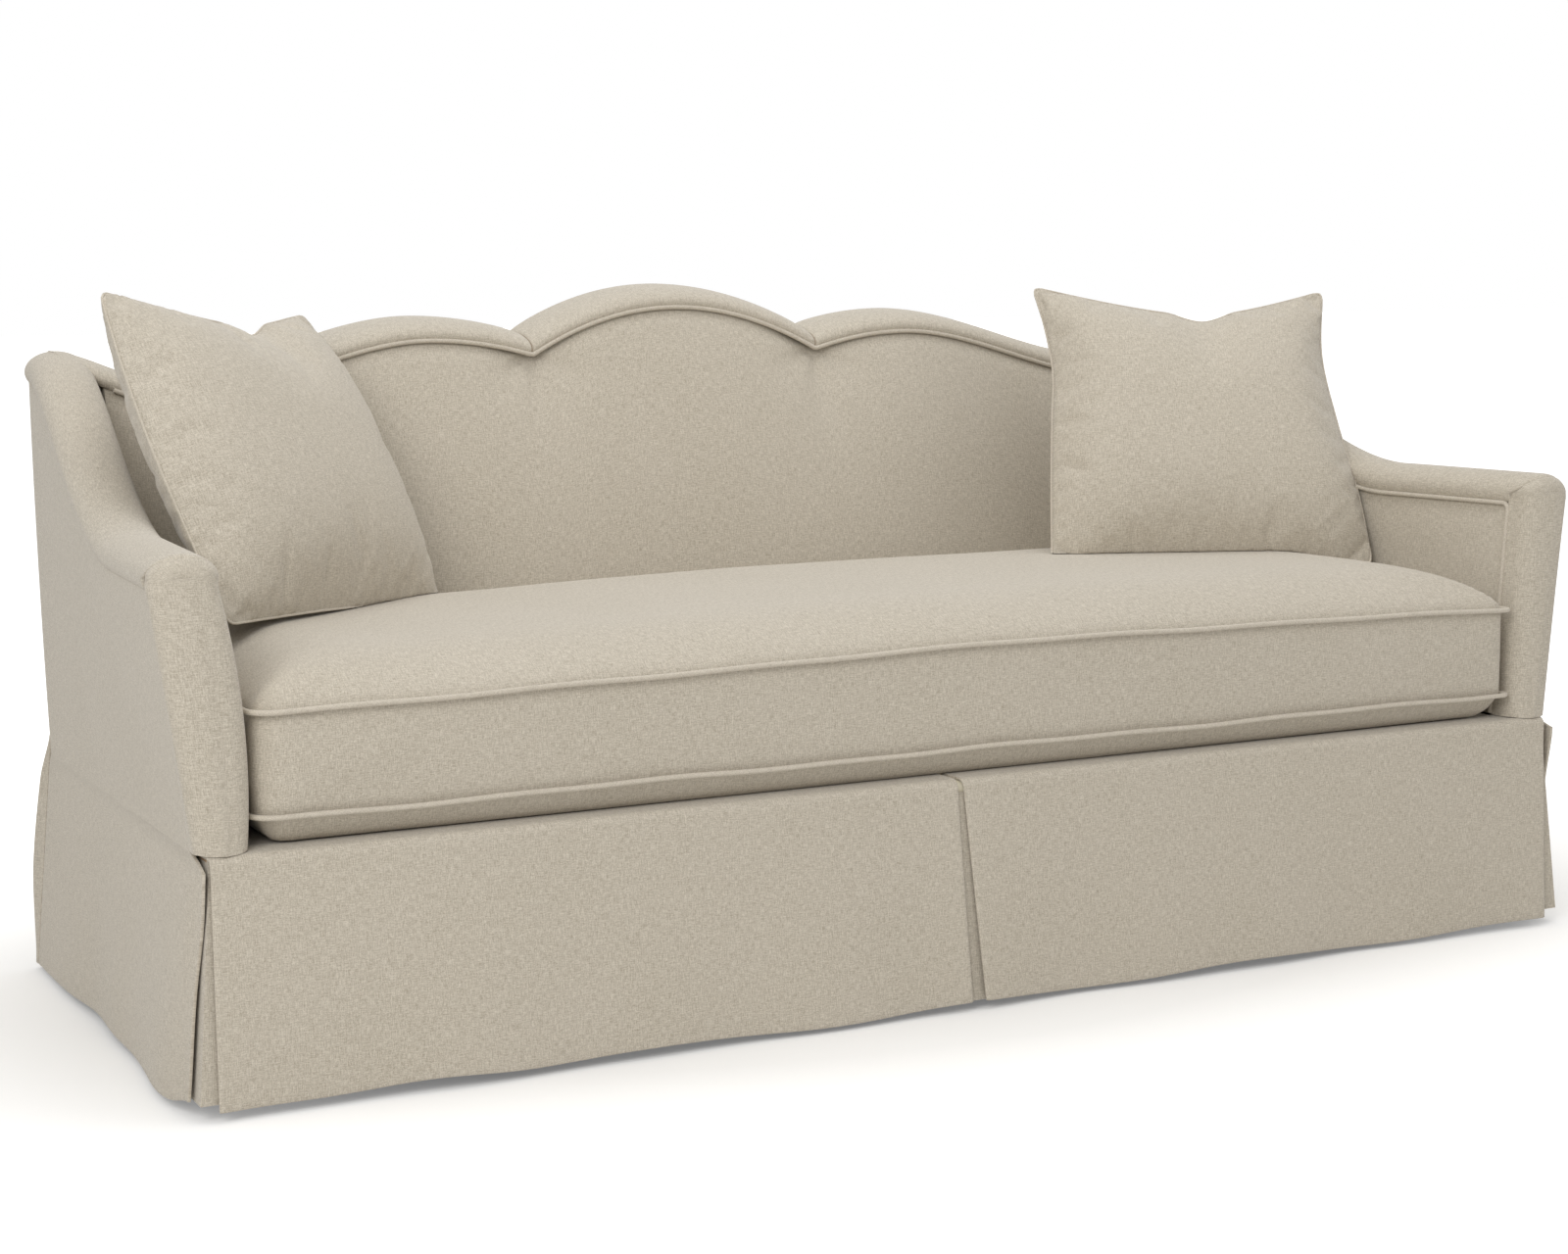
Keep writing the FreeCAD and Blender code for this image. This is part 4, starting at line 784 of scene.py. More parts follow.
@dataclass(frozen=True)
class Plain:
    """Foam, felt, plastic, webbing or metal with a fine grain and uneven tone."""

    name: str
    colour: Colour
    roughness: float = 0.8
    metallic: float = 0.0
    grain: float = 300.0
    depth: float = 0.0003
    variation: float = 0.12
    sheen: float = 0.0

    def material(self) -> bpy.types.Material:
        """Builds the material.

        Returns:
            The material.
        """
        material, nodes, shader = new_finish(self.name)
        spot = nodes.add("ShaderNodeTexCoord")
        fine = nodes.noise(spot.outputs["Object"], self.grain, 3.0, 0.6)
        broad = nodes.noise(spot.outputs["Object"], self.grain / 24, 3.0, 0.6)
        both = nodes.math("MULTIPLY", nodes.math("ADD", fine, broad), 0.5)
        low = tuple(c * (1 - self.variation) for c in self.colour)
        high = tuple(min(1.0, c * (1 + self.variation)) for c in self.colour)
        colour = nodes.blend(nodes.ramp(both, 0.35, 0.65), (*low, 1), (*high, 1))
        nodes.feed(shader.inputs["Base Color"], colour)
        rough = nodes.ramp(both, 0.3, 0.7, self.roughness + 0.07, self.roughness - 0.07)
        nodes.feed(shader.inputs["Roughness"], rough)
        relief = nodes.add("ShaderNodeBump", Height=fine, Distance=self.depth)
        nodes.feed(shader.inputs["Normal"], relief.outputs[0])
        shader.inputs["Metallic"].default_value = self.metallic
        shader.inputs["Sheen Weight"].default_value = self.sheen
        return material


class Palette:
    """Every finish of the sofa, built once."""

    def __init__(self) -> None:
        """Builds the weave and the materials."""
        weave = weave_group()
        # The welts' linen is cut on the bias, and its paler tones are a painted highlight on the round cords.
        bias_highlit = {"pale": (0.66, 0.60, 0.505), "deep": (0.45, 0.40, 0.32), "turn": math.pi / 4, "slub": 0.6}
        coarse = {"pale": (0.60, 0.54, 0.45), "deep": (0.36, 0.31, 0.245), "pitch": 0.0014, "slub": 0.5}
        self.linen = Linen("oatmeal_linen").material(weave)
        self.welt = Linen("bias_linen_highlit", **bias_highlit).material(weave)
        self.deck = Linen("deck_cloth", **coarse).material(weave)
        runs = {"across": (1.5, 22.0, 22.0), "deep": (22.0, 1.5, 22.0), "upright": (22.0, 22.0, 1.5)}
        early, late = (0.52, 0.36, 0.22), (0.36, 0.23, 0.13)
        self.boards = {
            way: Wood(f"hardwood_{way}", early, late, stretch=run).material() for way, run in runs.items()
        }
        stain = {"stretch": runs["upright"], "roughness": 0.35, "coat": 0.2}
        stained = Wood("stained_leg", (0.060, 0.032, 0.018), (0.030, 0.016, 0.010), **stain)
        self.leg_wood = stained.material()
        metal = {"metallic": 1.0, "depth": 0.0001}
        cloth = {"sheen": 0.2}
        self.steel = Plain("zinc_steel", (0.55, 0.56, 0.58), 0.38, **metal).material()
        self.spring = Plain("spring_wire", (0.25, 0.25, 0.27), 0.42, **metal).material()
        self.brass = Plain("antique_brass", (0.42, 0.30, 0.13), 0.4, **metal).material()
        self.nylon = Plain("nylon_glide", (0.03, 0.028, 0.026), 0.4, depth=0.0001).material()
        self.webbing = Plain("elastic_webbing", (0.07, 0.06, 0.055), 0.85, grain=700.0, **cloth).material()
        self.cambric = Plain("black_cambric", (0.02, 0.02, 0.022), 0.9, grain=900.0, **cloth).material()
        self.ticking = Plain("white_ticking", (0.84, 0.83, 0.79), 0.88, grain=900.0, **cloth).material()
        felt = Plain("grey_felt", (0.19, 0.18, 0.17), 0.95, grain=500.0, variation=0.3, sheen=0.4)
        self.felt = felt.material()
        self.wadding = Plain("white_wadding", (0.82, 0.81, 0.77), 0.95, grain=200.0, sheen=0.4).material()
        self.foam = Plain("cream_foam", (0.85, 0.79, 0.62), 0.9, grain=600.0).material()
        self.tape = Plain("zipper_tape", (0.60, 0.53, 0.44), 0.85, grain=1200.0).material()


class Slot(Enum):
    """Names of finishes that the build tables list beside new pieces."""

    LINEN = "linen"
    WELT = "linen_welt"
    DECK = "deck_cloth"
    FOAM = "foam"
    TAPE = "zipper_tape"
    FIBRE = "fibre_pad"
    FELT = "felt"
    WEBBING = "webbing"
    CAMBRIC = "cambric"
    FEATHERS = "feather_fill"


def dress(piece: bpy.types.Object, material: bpy.types.Material) -> None:
    """The piece wears one material."""
    piece.data.materials.clear()
    piece.data.materials.append(material)


# The sofa's lines: every piece reads its shape from these
@dataclass(frozen=True)
class SofaLines:
    """Sizes of the sofa and the curves that its covers follow."""

    half_seat: float = 0.965
    deck: float = 0.308
    arm_front: float = 0.4455
    back_base: float = 0.3605
    back_lean: float = math.radians(10.75)
    arm_splay: float = 0.047
    arm_base: float = 0.061
    arm_top: float = 0.075
    arm_flare: float = 0.044
    arm_front_height: float = 0.658
    arm_level_run: float = 0.290
    arm_rise_run: float = 0.590
    arm_rise: float = 0.202
    roll_height: float = 0.043
    facing_depth: float = 0.048
    back_face: float = 0.254
    face_break: float = 0.470
    border_depth: float = 0.112
    border_front_drop: float = 0.036
    border_rear_drop: float = 0.044
    border_setback: float = 0.032
    hem: float = 0.010
    side_flare: float = 0.024
    hump: Curve = ((0.0, 0.944), (0.241, 0.877), (0.405, 0.901), (0.800, 0.822), (0.945, 0.861))

    @property
    def arm_length(self) -> float:
        """From the arm's front to the rear face."""
        return self.arm_front + self.back_base

    @property
    def facing_rear(self) -> float:
        """Where the padded front of the arm ends."""
        return self.facing_depth - self.arm_front

    def rear(self, z: float) -> float:
        """Rear face of the leaning back at a height."""
        return self.back_base + math.tan(self.back_lean) * (z - self.deck)

    def arm_share(self, y: float) -> float:
        """How far back along the arm, 0 at its front."""
        return (y + self.arm_front) / self.arm_length

    def arm_crest(self, y: float) -> float:
        """Height of the arm's top."""
        start = self.arm_level_run - self.arm_front
        return self.arm_front_height + self.arm_rise * ease((y - start) / self.arm_rise_run)

    def arm_seam(self, y: float) -> float:
        """Height of the seams under the arm's roll."""
        return self.arm_crest(y) - self.roll_height

    def arm_outer(self, y: float, z: float) -> float:
        """Outer face of the right arm.

        Args:
            y: Where along the arm.
            z: Height.

        Returns:
            X of the face.
        """
        front_seam = self.arm_front_height - self.roll_height
        climb = max(0.0, z - self.deck) / (front_seam - self.deck)
        share = self.arm_share(y)
        return self.half_seat + self.arm_base - self.arm_splay * share + self.arm_flare * (1 - share) * climb

    def arm_inner(self, y: float, z: float) -> float:
        """Inner face of the right arm."""
        climb = clamp(max(0.0, z - self.deck) / (self.arm_seam(y) - self.deck))
        return self.arm_outer(y, z) - self.arm_base - (self.arm_top - self.arm_base) * climb

    def ridge(self, x: float) -> float:
        """Height of the back's scalloped crest.

        Args:
            x: Across the back.

        Returns:
            The crest's height.
        """
        reach = abs(x)
        (_, top), (valley, low), (side, rise), (dip, sunk), (corner, end) = self.hump
        if reach <= valley:
            return top - (top - low) * (reach / valley) ** 2
        if reach <= side:
            return rise - (rise - low) * ((side - reach) / (side - valley)) ** 2
        if reach <= dip:
            return mix(rise, sunk, ease((reach - side) / (dip - side)))
        return mix(sunk, end, ease((reach - dip) / (corner - dip)))

    def border_front(self, x: float) -> float:
        """Front seam of the rolled border."""
        return self.rear(self.ridge(x)) - self.border_depth

    def side_skirt(self, y: float, z: float) -> float:
        """Outer face of the side skirt, from the deck to the hem."""
        drop = clamp((self.deck - z) / (self.deck - self.hem))
        return self.arm_outer(y, self.deck) + self.side_flare * drop


@dataclass
class Arm:
    """One arm of the sofa, modelled on the right and copied to the left."""

    lines: SofaLines
    palette: Palette
    front_round: float = 0.026
    tuck_under: float = math.radians(30)
    mitre: float = 0.013
    groove: float = 0.0016
    groove_width: float = 0.0035
    front_run: float = 0.060
    cap_reach: float = 0.026
    recess: float = 0.0025
    swell: float = 0.0035
    left_fill: float = 0.013
    right_rise: float = 0.007
    right_slim: float = 0.011
    right_foot: float = 0.005
    right_hem: float = 0.013
    cloth: float = 0.004
    welt: float = 0.0034

    def over(self, y: float, turn: float, grow: float = 0.0) -> tuple[float, float]:
        """The roll's section, which overhangs both its seams.

        Args:
            y: Where along the arm.
            turn: Angle from the outer side, over the crest, to the inner side.
            grow: How much fuller than the cover.

        Returns:
            X and Z.
        """
        line = self.lines
        seam, crest = line.arm_seam(y), line.arm_crest(y)
        outer, inner = line.arm_outer(y, seam), line.arm_inner(y, seam)
        half = (outer - inner) / 2 / math.cos(self.tuck_under) + grow
        rise = (crest - seam) / (1 + math.sin(self.tuck_under))
        return (outer + inner) / 2 + half * math.cos(turn), crest - rise + (rise + grow) * math.sin(turn)

    def mitre_depth(self, turn: float) -> float:
        """How far behind the arm's front the mitre seam runs at an angle round the roll."""
        rise = clamp(math.sin(max(0.0, min(math.pi, turn))))
        return mix(self.lines.facing_depth, self.mitre, rise**0.55)

    def rounding(self, depth: float) -> float:
        """How far the padded front has drawn in at a depth behind its face."""
        near = max(0.0, self.front_round - depth)
        return self.front_round - math.sqrt(max(0.0, self.front_round**2 - near**2))

    def roll(self) -> bpy.types.Object:
        """The rounded top, from the mitre seam to its closed rear end.

        Returns:
            The piece on the right side.
        """
        line = self.lines
        tail = line.rear(line.arm_crest(0.43)) - self.cap_reach
        near, low, high = self.front_run, -self.tuck_under, math.pi + self.tuck_under

        def section(u: float, y: float, grow: float) -> Vector:
            """The roll's closed section at one place along the arm.

            Args:
                u: 0 to 1 over the roll, 1 to 2 back under it.
                y: Where along the arm.
                grow: How much fuller than the cover.

            Returns:
                The point of the surface.
            """
            if u <= 1:
                x, z = self.over(y, mix(low, high, u), grow)
                return Vector((x, y, z))
            (x_in, z_in), (x_out, z_out) = self.over(y, high, grow), self.over(y, low, grow)
            share = u - 1
            rise = 0.004 * math.sin(math.pi * share)
            return Vector((mix(x_in, x_out, share), y, mix(z_in, z_out, share) + rise))

        def form(u: float, v: float) -> Vector:
            """The roll from its mitre, along the arm, to its rounded tail.

            Args:
                u: As in the section.
                v: 0 to 1 at the front, to 2 along the arm, to 3 round the tail.

            Returns:
                The point of the surface.
            """
            turn = mix(low, high, u) if u <= 1 else mix(high, low, u - 1)
            seam_depth = self.mitre_depth(turn) if u <= 1 else line.facing_depth
            if v <= 1:
                depth = mix(seam_depth, near, v)
                pinch = self.groove * (1 - clamp((depth - seam_depth) / self.groove_width)) ** 2
                return section(u, depth - line.arm_front, -self.rounding(depth) - pinch)
            if v <= 2:
                return section(u, mix(near - line.arm_front, tail, v - 1), 0.0)
            angle = (v - 2) * math.pi / 2
            point = section(u, tail, 0.0)
            seam, crest = line.arm_seam(tail), line.arm_crest(tail)
            middle = (line.arm_outer(tail, seam) + line.arm_inner(tail, seam)) / 2
            core = Vector((middle, tail, mix(seam, crest, 0.25)))
            point = core.lerp(point, math.cos(angle * 0.97) ** 0.75)
            lean = math.tan(line.back_lean) * (point.z - crest)
            point.y = tail + (self.cap_reach + lean) * math.sin(angle)
            return point

        columns = spread(0, 1, 41) + [1.25, 1.5, 1.75, 2.0]
        rows = [0, 0.02, 0.05, 0.1, 0.18, 0.3, 0.5, 0.75, 1] + [1 + s for s in spread(0, 1, 90)[1:]]
        rows += [2 + s for s in spread(0, 1, 9)[1:]]
        piece = Bench.skin("arm_roll", form, columns, rows)
        Bench.seal(piece)
        # The roll gets no painted seam shade.
        Bench.paint_seam_shade(piece, lambda spot: 0.0)
        Bench.smooth(piece, 60)
        return piece

    def facing(self) -> bpy.types.Object:
        """The padded front of the arm, under the mitre seam.

        Returns:
            The piece on the right side.
        """
        line = self.lines
        low = line.deck + 0.001
        foot, rim = 0.08, 0.30  # shares of the outline where the foot and the upright side end
        depth_all = line.facing_depth + 0.004

        def outline(u: float, y: float, inset: float, depth: float) -> Vector:
            """The facing's outline, up one side, over the roll and down the other.

            Args:
                u: Share round it, outer foot to inner foot.
                y: Where along the arm.
                inset: How far inside its fullest outline.
                depth: How far behind its face.

            Returns:
                The point of the outline.
            """
            mirror = u > 0.5
            share = 1 - u if mirror else u
            side = line.arm_inner if mirror else line.arm_outer
            outward = -1 if mirror else 1
            _, belly = self.over(y, 0.0, -inset)
            base = low + min(inset, 0.004) * 0.5 - 0.0032 * (1 - clamp(depth / 0.02))
            behind = depth - 0.020
            far = 1 - (0.4 * ease(behind / 0.03) if mirror else ease(behind / (depth_all - 0.020)))
            if share < foot:
                edge = side(y, base) + outward * (0.002 * far - inset)
                middle = (line.arm_outer(y, base) + line.arm_inner(y, base)) / 2
                return Vector((mix(middle, edge, share / foot), y, base))
            if share < rim:
                part = (share - foot) / (rim - foot)
                z = mix(base, belly, part)
                wide, _ = self.over(y, math.pi if mirror else 0.0)
                top_swell = outward * (wide - side(y, line.arm_seam(y)))
                bulge = mix(0.002, top_swell, part) * far
                return Vector((side(y, z) + outward * (bulge - inset), y, z))
            turn = (share - rim) / (0.5 - rim) * math.pi / 2
            x, z = self.over(y, math.pi - turn if mirror else turn, -inset)
            wide_trim = (1 - far) * (1 - math.sin(turn)) * 0.006
            return Vector((x - outward * wide_trim, y, z))

        def depth_at(u: float) -> float:
            """How deep the facing reaches back at a share round its outline.

            Args:
                u: Share round the outline.

            Returns:
                The depth.
            """
            share = min(u, 1 - u)
            if share < rim:
                return depth_all
            return min(depth_all, self.mitre_depth((share - rim) / (0.5 - rim) * math.pi / 2))

        def form(u: float, v: float) -> Vector:
            """The facing's side, its rounded rim and its flat face.

            Args:
                u: Share round the outline.
                v: 0 to 1 from the seam to the face, to 2 at its middle.

            Returns:
                The point of the surface.
            """
            start = depth_at(u)
            straight = max(0.0, start - self.front_round)
            first = math.asin(clamp(1 - start / self.front_round)) if start < self.front_round else 0.0
            length = straight + self.front_round * (math.pi / 2 - first)
            if v <= 1:
                run = v * length
                pinch = self.groove * (1 - clamp(run / self.groove_width)) ** 2
                if run < straight:
                    depth, inset = start - run, 0.0
                else:
                    angle = first + (run - straight) / self.front_round
                    depth = self.front_round * (1 - math.sin(angle))
                    inset = self.front_round * (1 - math.cos(angle))
                return outline(u, depth - line.arm_front, inset + pinch, depth)
            front = -line.arm_front
            edge = outline(u, front, self.front_round, 0.0)
            middle = (line.arm_inner(front, edge.z) + line.arm_outer(front, edge.z)) / 2
            point = Vector((mix(edge.x, middle, v - 1), edge.y, edge.z))
            point.y -= 0.0022 * math.sin((v - 1) * math.pi / 2)
            return point

        left = [0, foot / 2, foot] + spread(foot, rim, 44)[1:] + spread(rim, 0.5, 22)[1:]
        columns = left + [1 - u for u in reversed(left[:-1])]
        rows = [0, 0.03, 0.07, 0.12, 0.2] + spread(0.2, 1, 15)[1:] + [1.35, 1.7, 2]
        piece = Bench.skin("arm_facing", form, columns, rows)
        Bench.seal(piece)
        Bench.smooth(piece, 60)
        return piece

    def inside(self) -> bpy.types.Object:
        """The padded panel on the inside of the arm, set in between its welts.

        Returns:
            The piece on the right side.
        """
        line = self.lines

        def form(u: float, v: float) -> Vector:
            """The padded inner panel.

            Args:
                u: Share across the piece, its column.
                v: Share along the piece, its row.

            Returns:
                The point of the surface.
            """
            y = mix(line.facing_rear - 0.003, line.back_face + 0.085, u)
            z = mix(line.deck + 0.002, line.arm_seam(y) + 0.004, v)
            edge = min(y - line.facing_rear, line.arm_seam(y) - z)
            puff = self.swell * ease(edge / 0.05) - self.recess
            return Vector((line.arm_inner(y, z) - puff, y, z))

        return Bench.cloth("inside_arm", form, spread(0, 1, 110), spread(0, 1, 45), LEFT, self.cloth * 3)

    def outside(self) -> bpy.types.Object:
        """The outer panel and the side skirt under it, one length of cloth.

        Returns:
            The piece on the right side.
        """
        line = self.lines
        lead = -line.arm_front - 0.008

        def form(u: float, v: float) -> Vector:
            """The outer panel, then the side skirt with its folds.

            Args:
                u: Share from front to rear.
                v: 0 to 1 down the panel, to 2 down the skirt.

            Returns:
                The point of the surface.
            """
            if v <= 1:
                tail = line.rear(mix(line.arm_seam(0.46) + 0.003, line.deck, v)) - 0.003
                y = mix(line.facing_rear, tail, u)
                z = mix(line.arm_seam(y) + 0.004, line.deck, v)
                turned = 0.006 * clamp((y - tail + 0.010) / 0.010) ** 2
                return Vector((line.arm_outer(y, z) - turned, y, z))
            drop = v - 1
            z = mix(line.deck, line.hem, drop)
            front = mix(line.facing_rear, lead + 0.017 * ease(drop * 2), ease(drop * 20))
            tail = line.back_base - 0.004 + 0.014 * drop
            y = mix(front, tail, u)
            calm = 1 - ease((u - 0.80) / 0.18)
            folds = 0.008 * bump(u - 0.13, 0.09) - 0.005 * bump(u - 0.36, 0.10) - 0.008 * bump(u - 0.60, 0.12)
            fold = drop**1.3 * calm * folds
            flick = -0.004 * ease(drop) * bump(u, 0.05) - 0.005 * bump(drop - 0.30, 0.22) * bump(u, 0.04)
            lift = drop**4 * calm * (0.012 * bump(u, 0.05) + 0.004 * bump(u - 0.58, 0.14))
            return Vector((line.side_skirt(y, z) + fold + flick, y, z + lift))

        rows = spread(0, 1, 40) + [1 + step / 36 for step in range(1, 37)]
        return Bench.cloth("outside_arm", form, [u**1.15 for u in spread(0, 1, 120)], rows, -LEFT, self.cloth)

    def piping(self) -> bpy.types.Object:
        """The welt up the facing and along the inner seam.

        Returns:
            The piece on the right side.
        """
        line = self.lines
        corner_y = line.facing_rear + 0.003
        seam = line.arm_seam(corner_y) - 0.001
        bend = 0.011

        def beside(y: float, z: float) -> Vector:
            """A place on the welt's route, beside the inner face."""
            return Vector((line.arm_inner(y, z) - 0.0024, y, z))

        route = [beside(corner_y, z) for z in spread(line.deck + self.welt, seam - bend, 40)]
        for step in range(1, 8):
            angle = step / 7 * math.pi / 2
            y = corner_y + bend * (1 - math.cos(angle))
            route.append(beside(y, seam - bend + bend * math.sin(angle)))
        reach = line.back_face + line.border_depth / 2
        route += [beside(y, line.arm_seam(y) - 0.001) for y in spread(corner_y + bend * 1.3, reach, 90)]
        return Bench.piping("arm_welt", route, self.welt)

    def places(self, spot: Vector) -> tuple[float, float, float, float]:
        """Where a point of an arm lies.

        Args:
            spot: The point, on the right side.

        Returns:
            Its climb above the deck, its share along the arm, and X of the outer and the inner face.
        """
        line = self.lines
        climb = clamp((spot.z - line.deck) / (line.arm_front_height - line.roll_height - line.deck))
        share = clamp(line.arm_share(spot.y))
        return climb, share, line.arm_outer(spot.y, spot.z), line.arm_inner(spot.y, spot.z)

    def fill_out(self, piece: bpy.types.Object) -> None:
        """The left arm is stuffed fuller, so its inner side stands upright beside the cushion.

        Args:
            piece: A piece of the left arm.
        """

        def move(spot: Vector) -> Vector:
            """Fills the inner side out at half height.

            Args:
                spot: The vertex's place.

            Returns:
                The vertex's new place.
            """
            climb, share, outer, inner = self.places(spot)
            inward = clamp((outer + spot.x) / (outer - inner))
            spot.x += self.left_fill * 4 * climb * (1 - climb) * (1 - share) * inward**1.5
            return spot

        Bench.reshape(piece, move)

    def slim_down(self, piece: bpy.types.Object) -> None:
        """The right arm stands a little higher and narrower at its front, and its skirt hangs straighter.

        Args:
            piece: A piece of the right arm.
        """
        line = self.lines

        def move(spot: Vector) -> Vector:
            """Draws the outer side in and lifts the front.

            Args:
                spot: The vertex's place.

            Returns:
                The vertex's new place.
            """
            climb, share, outer, inner = self.places(spot)
            drop = clamp((line.deck - spot.z) / (line.deck - line.hem))
            outward = clamp((spot.x - inner) / (outer - inner))
            spot.x += self.right_foot * (1 - climb) ** 2 * outward * (1 - share)
            spot.x -= self.right_slim * climb * (1 - share) * outward + self.right_hem * drop**1.5
            spot.z += self.right_rise * climb * (1 - ease((share - 0.3) / 0.5))
            return spot

        Bench.reshape(piece, move)

    def build(self) -> list[bpy.types.Object]:
        """Builds both arms.

        Returns:
            Every piece of both arms.
        """
        rows = [
            (self.roll(), self.palette.linen, "arm_roll", Slot.LINEN),
            (self.facing(), self.palette.linen, "arm_facing", Slot.LINEN),
            (self.inside(), self.palette.linen, "inside_arm", Slot.LINEN),
            (self.outside(), self.palette.linen, "outside_arm", Slot.LINEN),
            (self.piping(), self.palette.welt, "arm_welt", Slot.WELT),
        ]
        pieces: list[bpy.types.Object] = []
        for piece, material, node, slot in rows:
            dress(piece, material)
            ending = "cloth" if slot is Slot.LINEN else "cord"
            for side, copy in (("right", piece), ("left", Bench.mirrored(piece, node + "_left"))):
                copy.name = copy.data.name = f"{node}_{side}_{ending}"
                if side == "right":
                    self.slim_down(copy)
                elif node in ("arm_facing", "inside_arm", "arm_welt"):
                    self.fill_out(copy)
                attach(copy, "frame")
                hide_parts(f"{node}_{side}")
                pieces.append(copy)
        return pieces


@dataclass
class Back:
    """The scalloped back: rolled border, welt, puffed inside and plain outside."""

    lines: SofaLines
    palette: Palette
    puff: float = 0.018
    welt: float = 0.0034
    cloth: float = 0.004
    front_tuck: float = math.radians(20)
    rear_tuck: float = math.radians(14)
    pinch: float = 0.0020
    brim: float = 0.0045
    pull: float = 0.0030
    wadding: float = 0.012
    rear_foot: float = 0.322

    def border(self) -> bpy.types.Object:
        """The padded roll along the crest, with a seam at each valley.

        Returns:
            The piece.
        """
        line = self.lines
        reach = line.arm_outer(line.back_base, line.hump[-1][1]) - line.arm_top * 0.52
        valley = line.hump[1][0]

        def form(x: float, v: float) -> Vector:
            """The border's section, from its front seam over the crest to its rear seam.

            Args:
                x: Across the back.
                v: Share over the crest.

            Returns:
                The point of the surface.
            """
            crest = line.ridge(x)
            front_y, front_z = line.border_front(x), crest - line.border_front_drop
            top_y = line.rear(crest) - line.border_setback
            rear_z = crest - line.border_rear_drop
            rear_y = line.rear(rear_z)
            if v < 0.5:
                angle = mix(-self.front_tuck, math.pi / 2, v * 2)
                reach_y = (front_y - top_y) / math.cos(self.front_tuck)
                rise = (crest - front_z) / (1 + math.sin(self.front_tuck))
            else:
                angle = mix(math.pi / 2, -self.rear_tuck, v * 2 - 1)
                reach_y = (rear_y - top_y) / math.cos(self.rear_tuck)
                rise = (crest - rear_z) / (1 + math.sin(self.rear_tuck))
            point = Vector((x, top_y + reach_y * math.cos(angle), crest - rise + rise * math.sin(angle)))
            seam = self.pinch * bump(abs(x) - valley, 0.0030) + 0.0012 * bump(abs(x) - valley, 0.02)
            point.z -= seam * clamp(math.sin(angle), 0.2, 1)
            point.y += seam * (1 if v < 0.5 else -1) * math.cos(angle)
            return point

        fine = [valley + step * 0.0012 for step in range(-6, 7)]
        places = sorted(set([x for x in spread(0, reach, 130) if abs(x - valley) > 0.008] + fine))
        places = [-x for x in reversed(places[1:])] + places
        piece = Bench.cloth("back_border", form, places, spread(0, 1, 31), UP, self.wadding)
        # Painted shade: a thin dark line along each valley seam.
        Bench.paint_seam_shade(piece, lambda spot: 0.85 * bump(abs(spot.x) - valley, 0.0011))
        return piece

    def gather(self, x: float, z: float) -> float:
        """Small folds that fan out below each valley.

        Args:
            x: Across the back.
            z: Height.

        Returns:
            How far the cloth moves to the rear.
        """
        line = self.lines
        valley, low = line.hump[1]
        side, down = abs(x) - valley, low - line.border_front_drop - z
        reach = math.hypot(side, down)
        fan = math.atan2(side, down + 0.004)
        folds = self.pull * bump(reach, 0.075) * (1 - bump(reach, 0.014)) * math.cos(fan * 6.0 + 0.4)
        return folds + 0.007 * bump(reach, 0.060) + 0.004 * bump(side, 0.05) * bump(max(0.0, down), 0.16)

    def inside(self) -> bpy.types.Object:
        """The puffed panel that a sitter leans on.

        Returns:
            The piece.
        """
        line = self.lines
        foot = line.arm_inner(line.back_base, line.deck) - 0.0005
        corner = line.hump[-1][1]
        wide = line.arm_inner(line.rear(corner), corner) - 0.001

        def form(share: float, v: float) -> Vector:
            """The inner panel: upright at its foot, then leaning and puffed.

            Args:
                share: Share across, from -1 to 1.
                v: Share upwards.

            Returns:
                The point of the surface.
            """
            x_top = share * wide
            top = line.ridge(x_top) - line.border_front_drop + 0.003
            z = mix(line.deck + 0.001, top, v)
            x = share * mix(foot, wide, v)
            if z <= line.face_break:
                return Vector((x, line.back_face, z))
            part = (z - line.face_break) / (top - line.face_break)
            swell = self.puff * min(1.0, 0.2 + (1 - abs(share)) * line.back_base / line.border_depth)
            y = mix(line.back_face, line.border_front(x_top), part) - swell * 4 * part * (1 - part)
            y += self.brim * (1 - ease((top - z) / 0.030)) + self.gather(x, z)
            return Vector((x, y, z))

        rows = [1 - (1 - s) ** 1.5 for s in spread(0, 1, 70)]
        return Bench.cloth("inside_back_cloth", form, spread(-1, 1, 241), rows, FRONT, self.wadding)

    def outside(self) -> bpy.types.Object:
        """The plain panel behind.

        Returns:
            The piece.
        """
        line = self.lines

        def form(share: float, v: float) -> Vector:
            """The rear panel, turned in at both ends.

            Args:
                share: Share across, from -1 to 1.
                v: Share upwards.

            Returns:
                The point of the surface.
            """
            top = line.ridge(share * line.hump[-1][0]) - line.border_rear_drop + 0.002
            z = mix(self.rear_foot, top, v)
            reach = line.arm_outer(line.rear(z), z) - 0.0008
            x = share * reach
            turned = 0.005 * clamp((abs(x) - reach + 0.009) / 0.009) ** 2
            slack = 0.0015 * math.sin(x * 7 + z * 5) * math.sin(math.pi * v)
            return Vector((x, line.rear(z) - 0.0006 - turned + slack, z))

        ends = [0.991, 0.9935, 0.996, 0.998, 1.0]
        places = [-x for x in reversed(ends)] + spread(-0.988, 0.988, 141) + ends
        return Bench.cloth("outside_back_cloth", form, places, spread(0, 1, 56), -FRONT, self.cloth)

    def piping(self) -> bpy.types.Object:
        """The welt between the inside back and the border.

        Returns:
            The piece.
        """
        line = self.lines
        corner = line.hump[-1][1]
        reach = line.arm_inner(line.rear(corner), corner) - 0.012
        drop, ahead = line.border_front_drop - 0.0012, self.welt * 0.9
        places = spread(-reach, reach, 301)
        route = [Vector((x, line.border_front(x) - ahead, line.ridge(x) - drop)) for x in places]
        return Bench.piping("back_welt_cord", route, self.welt)

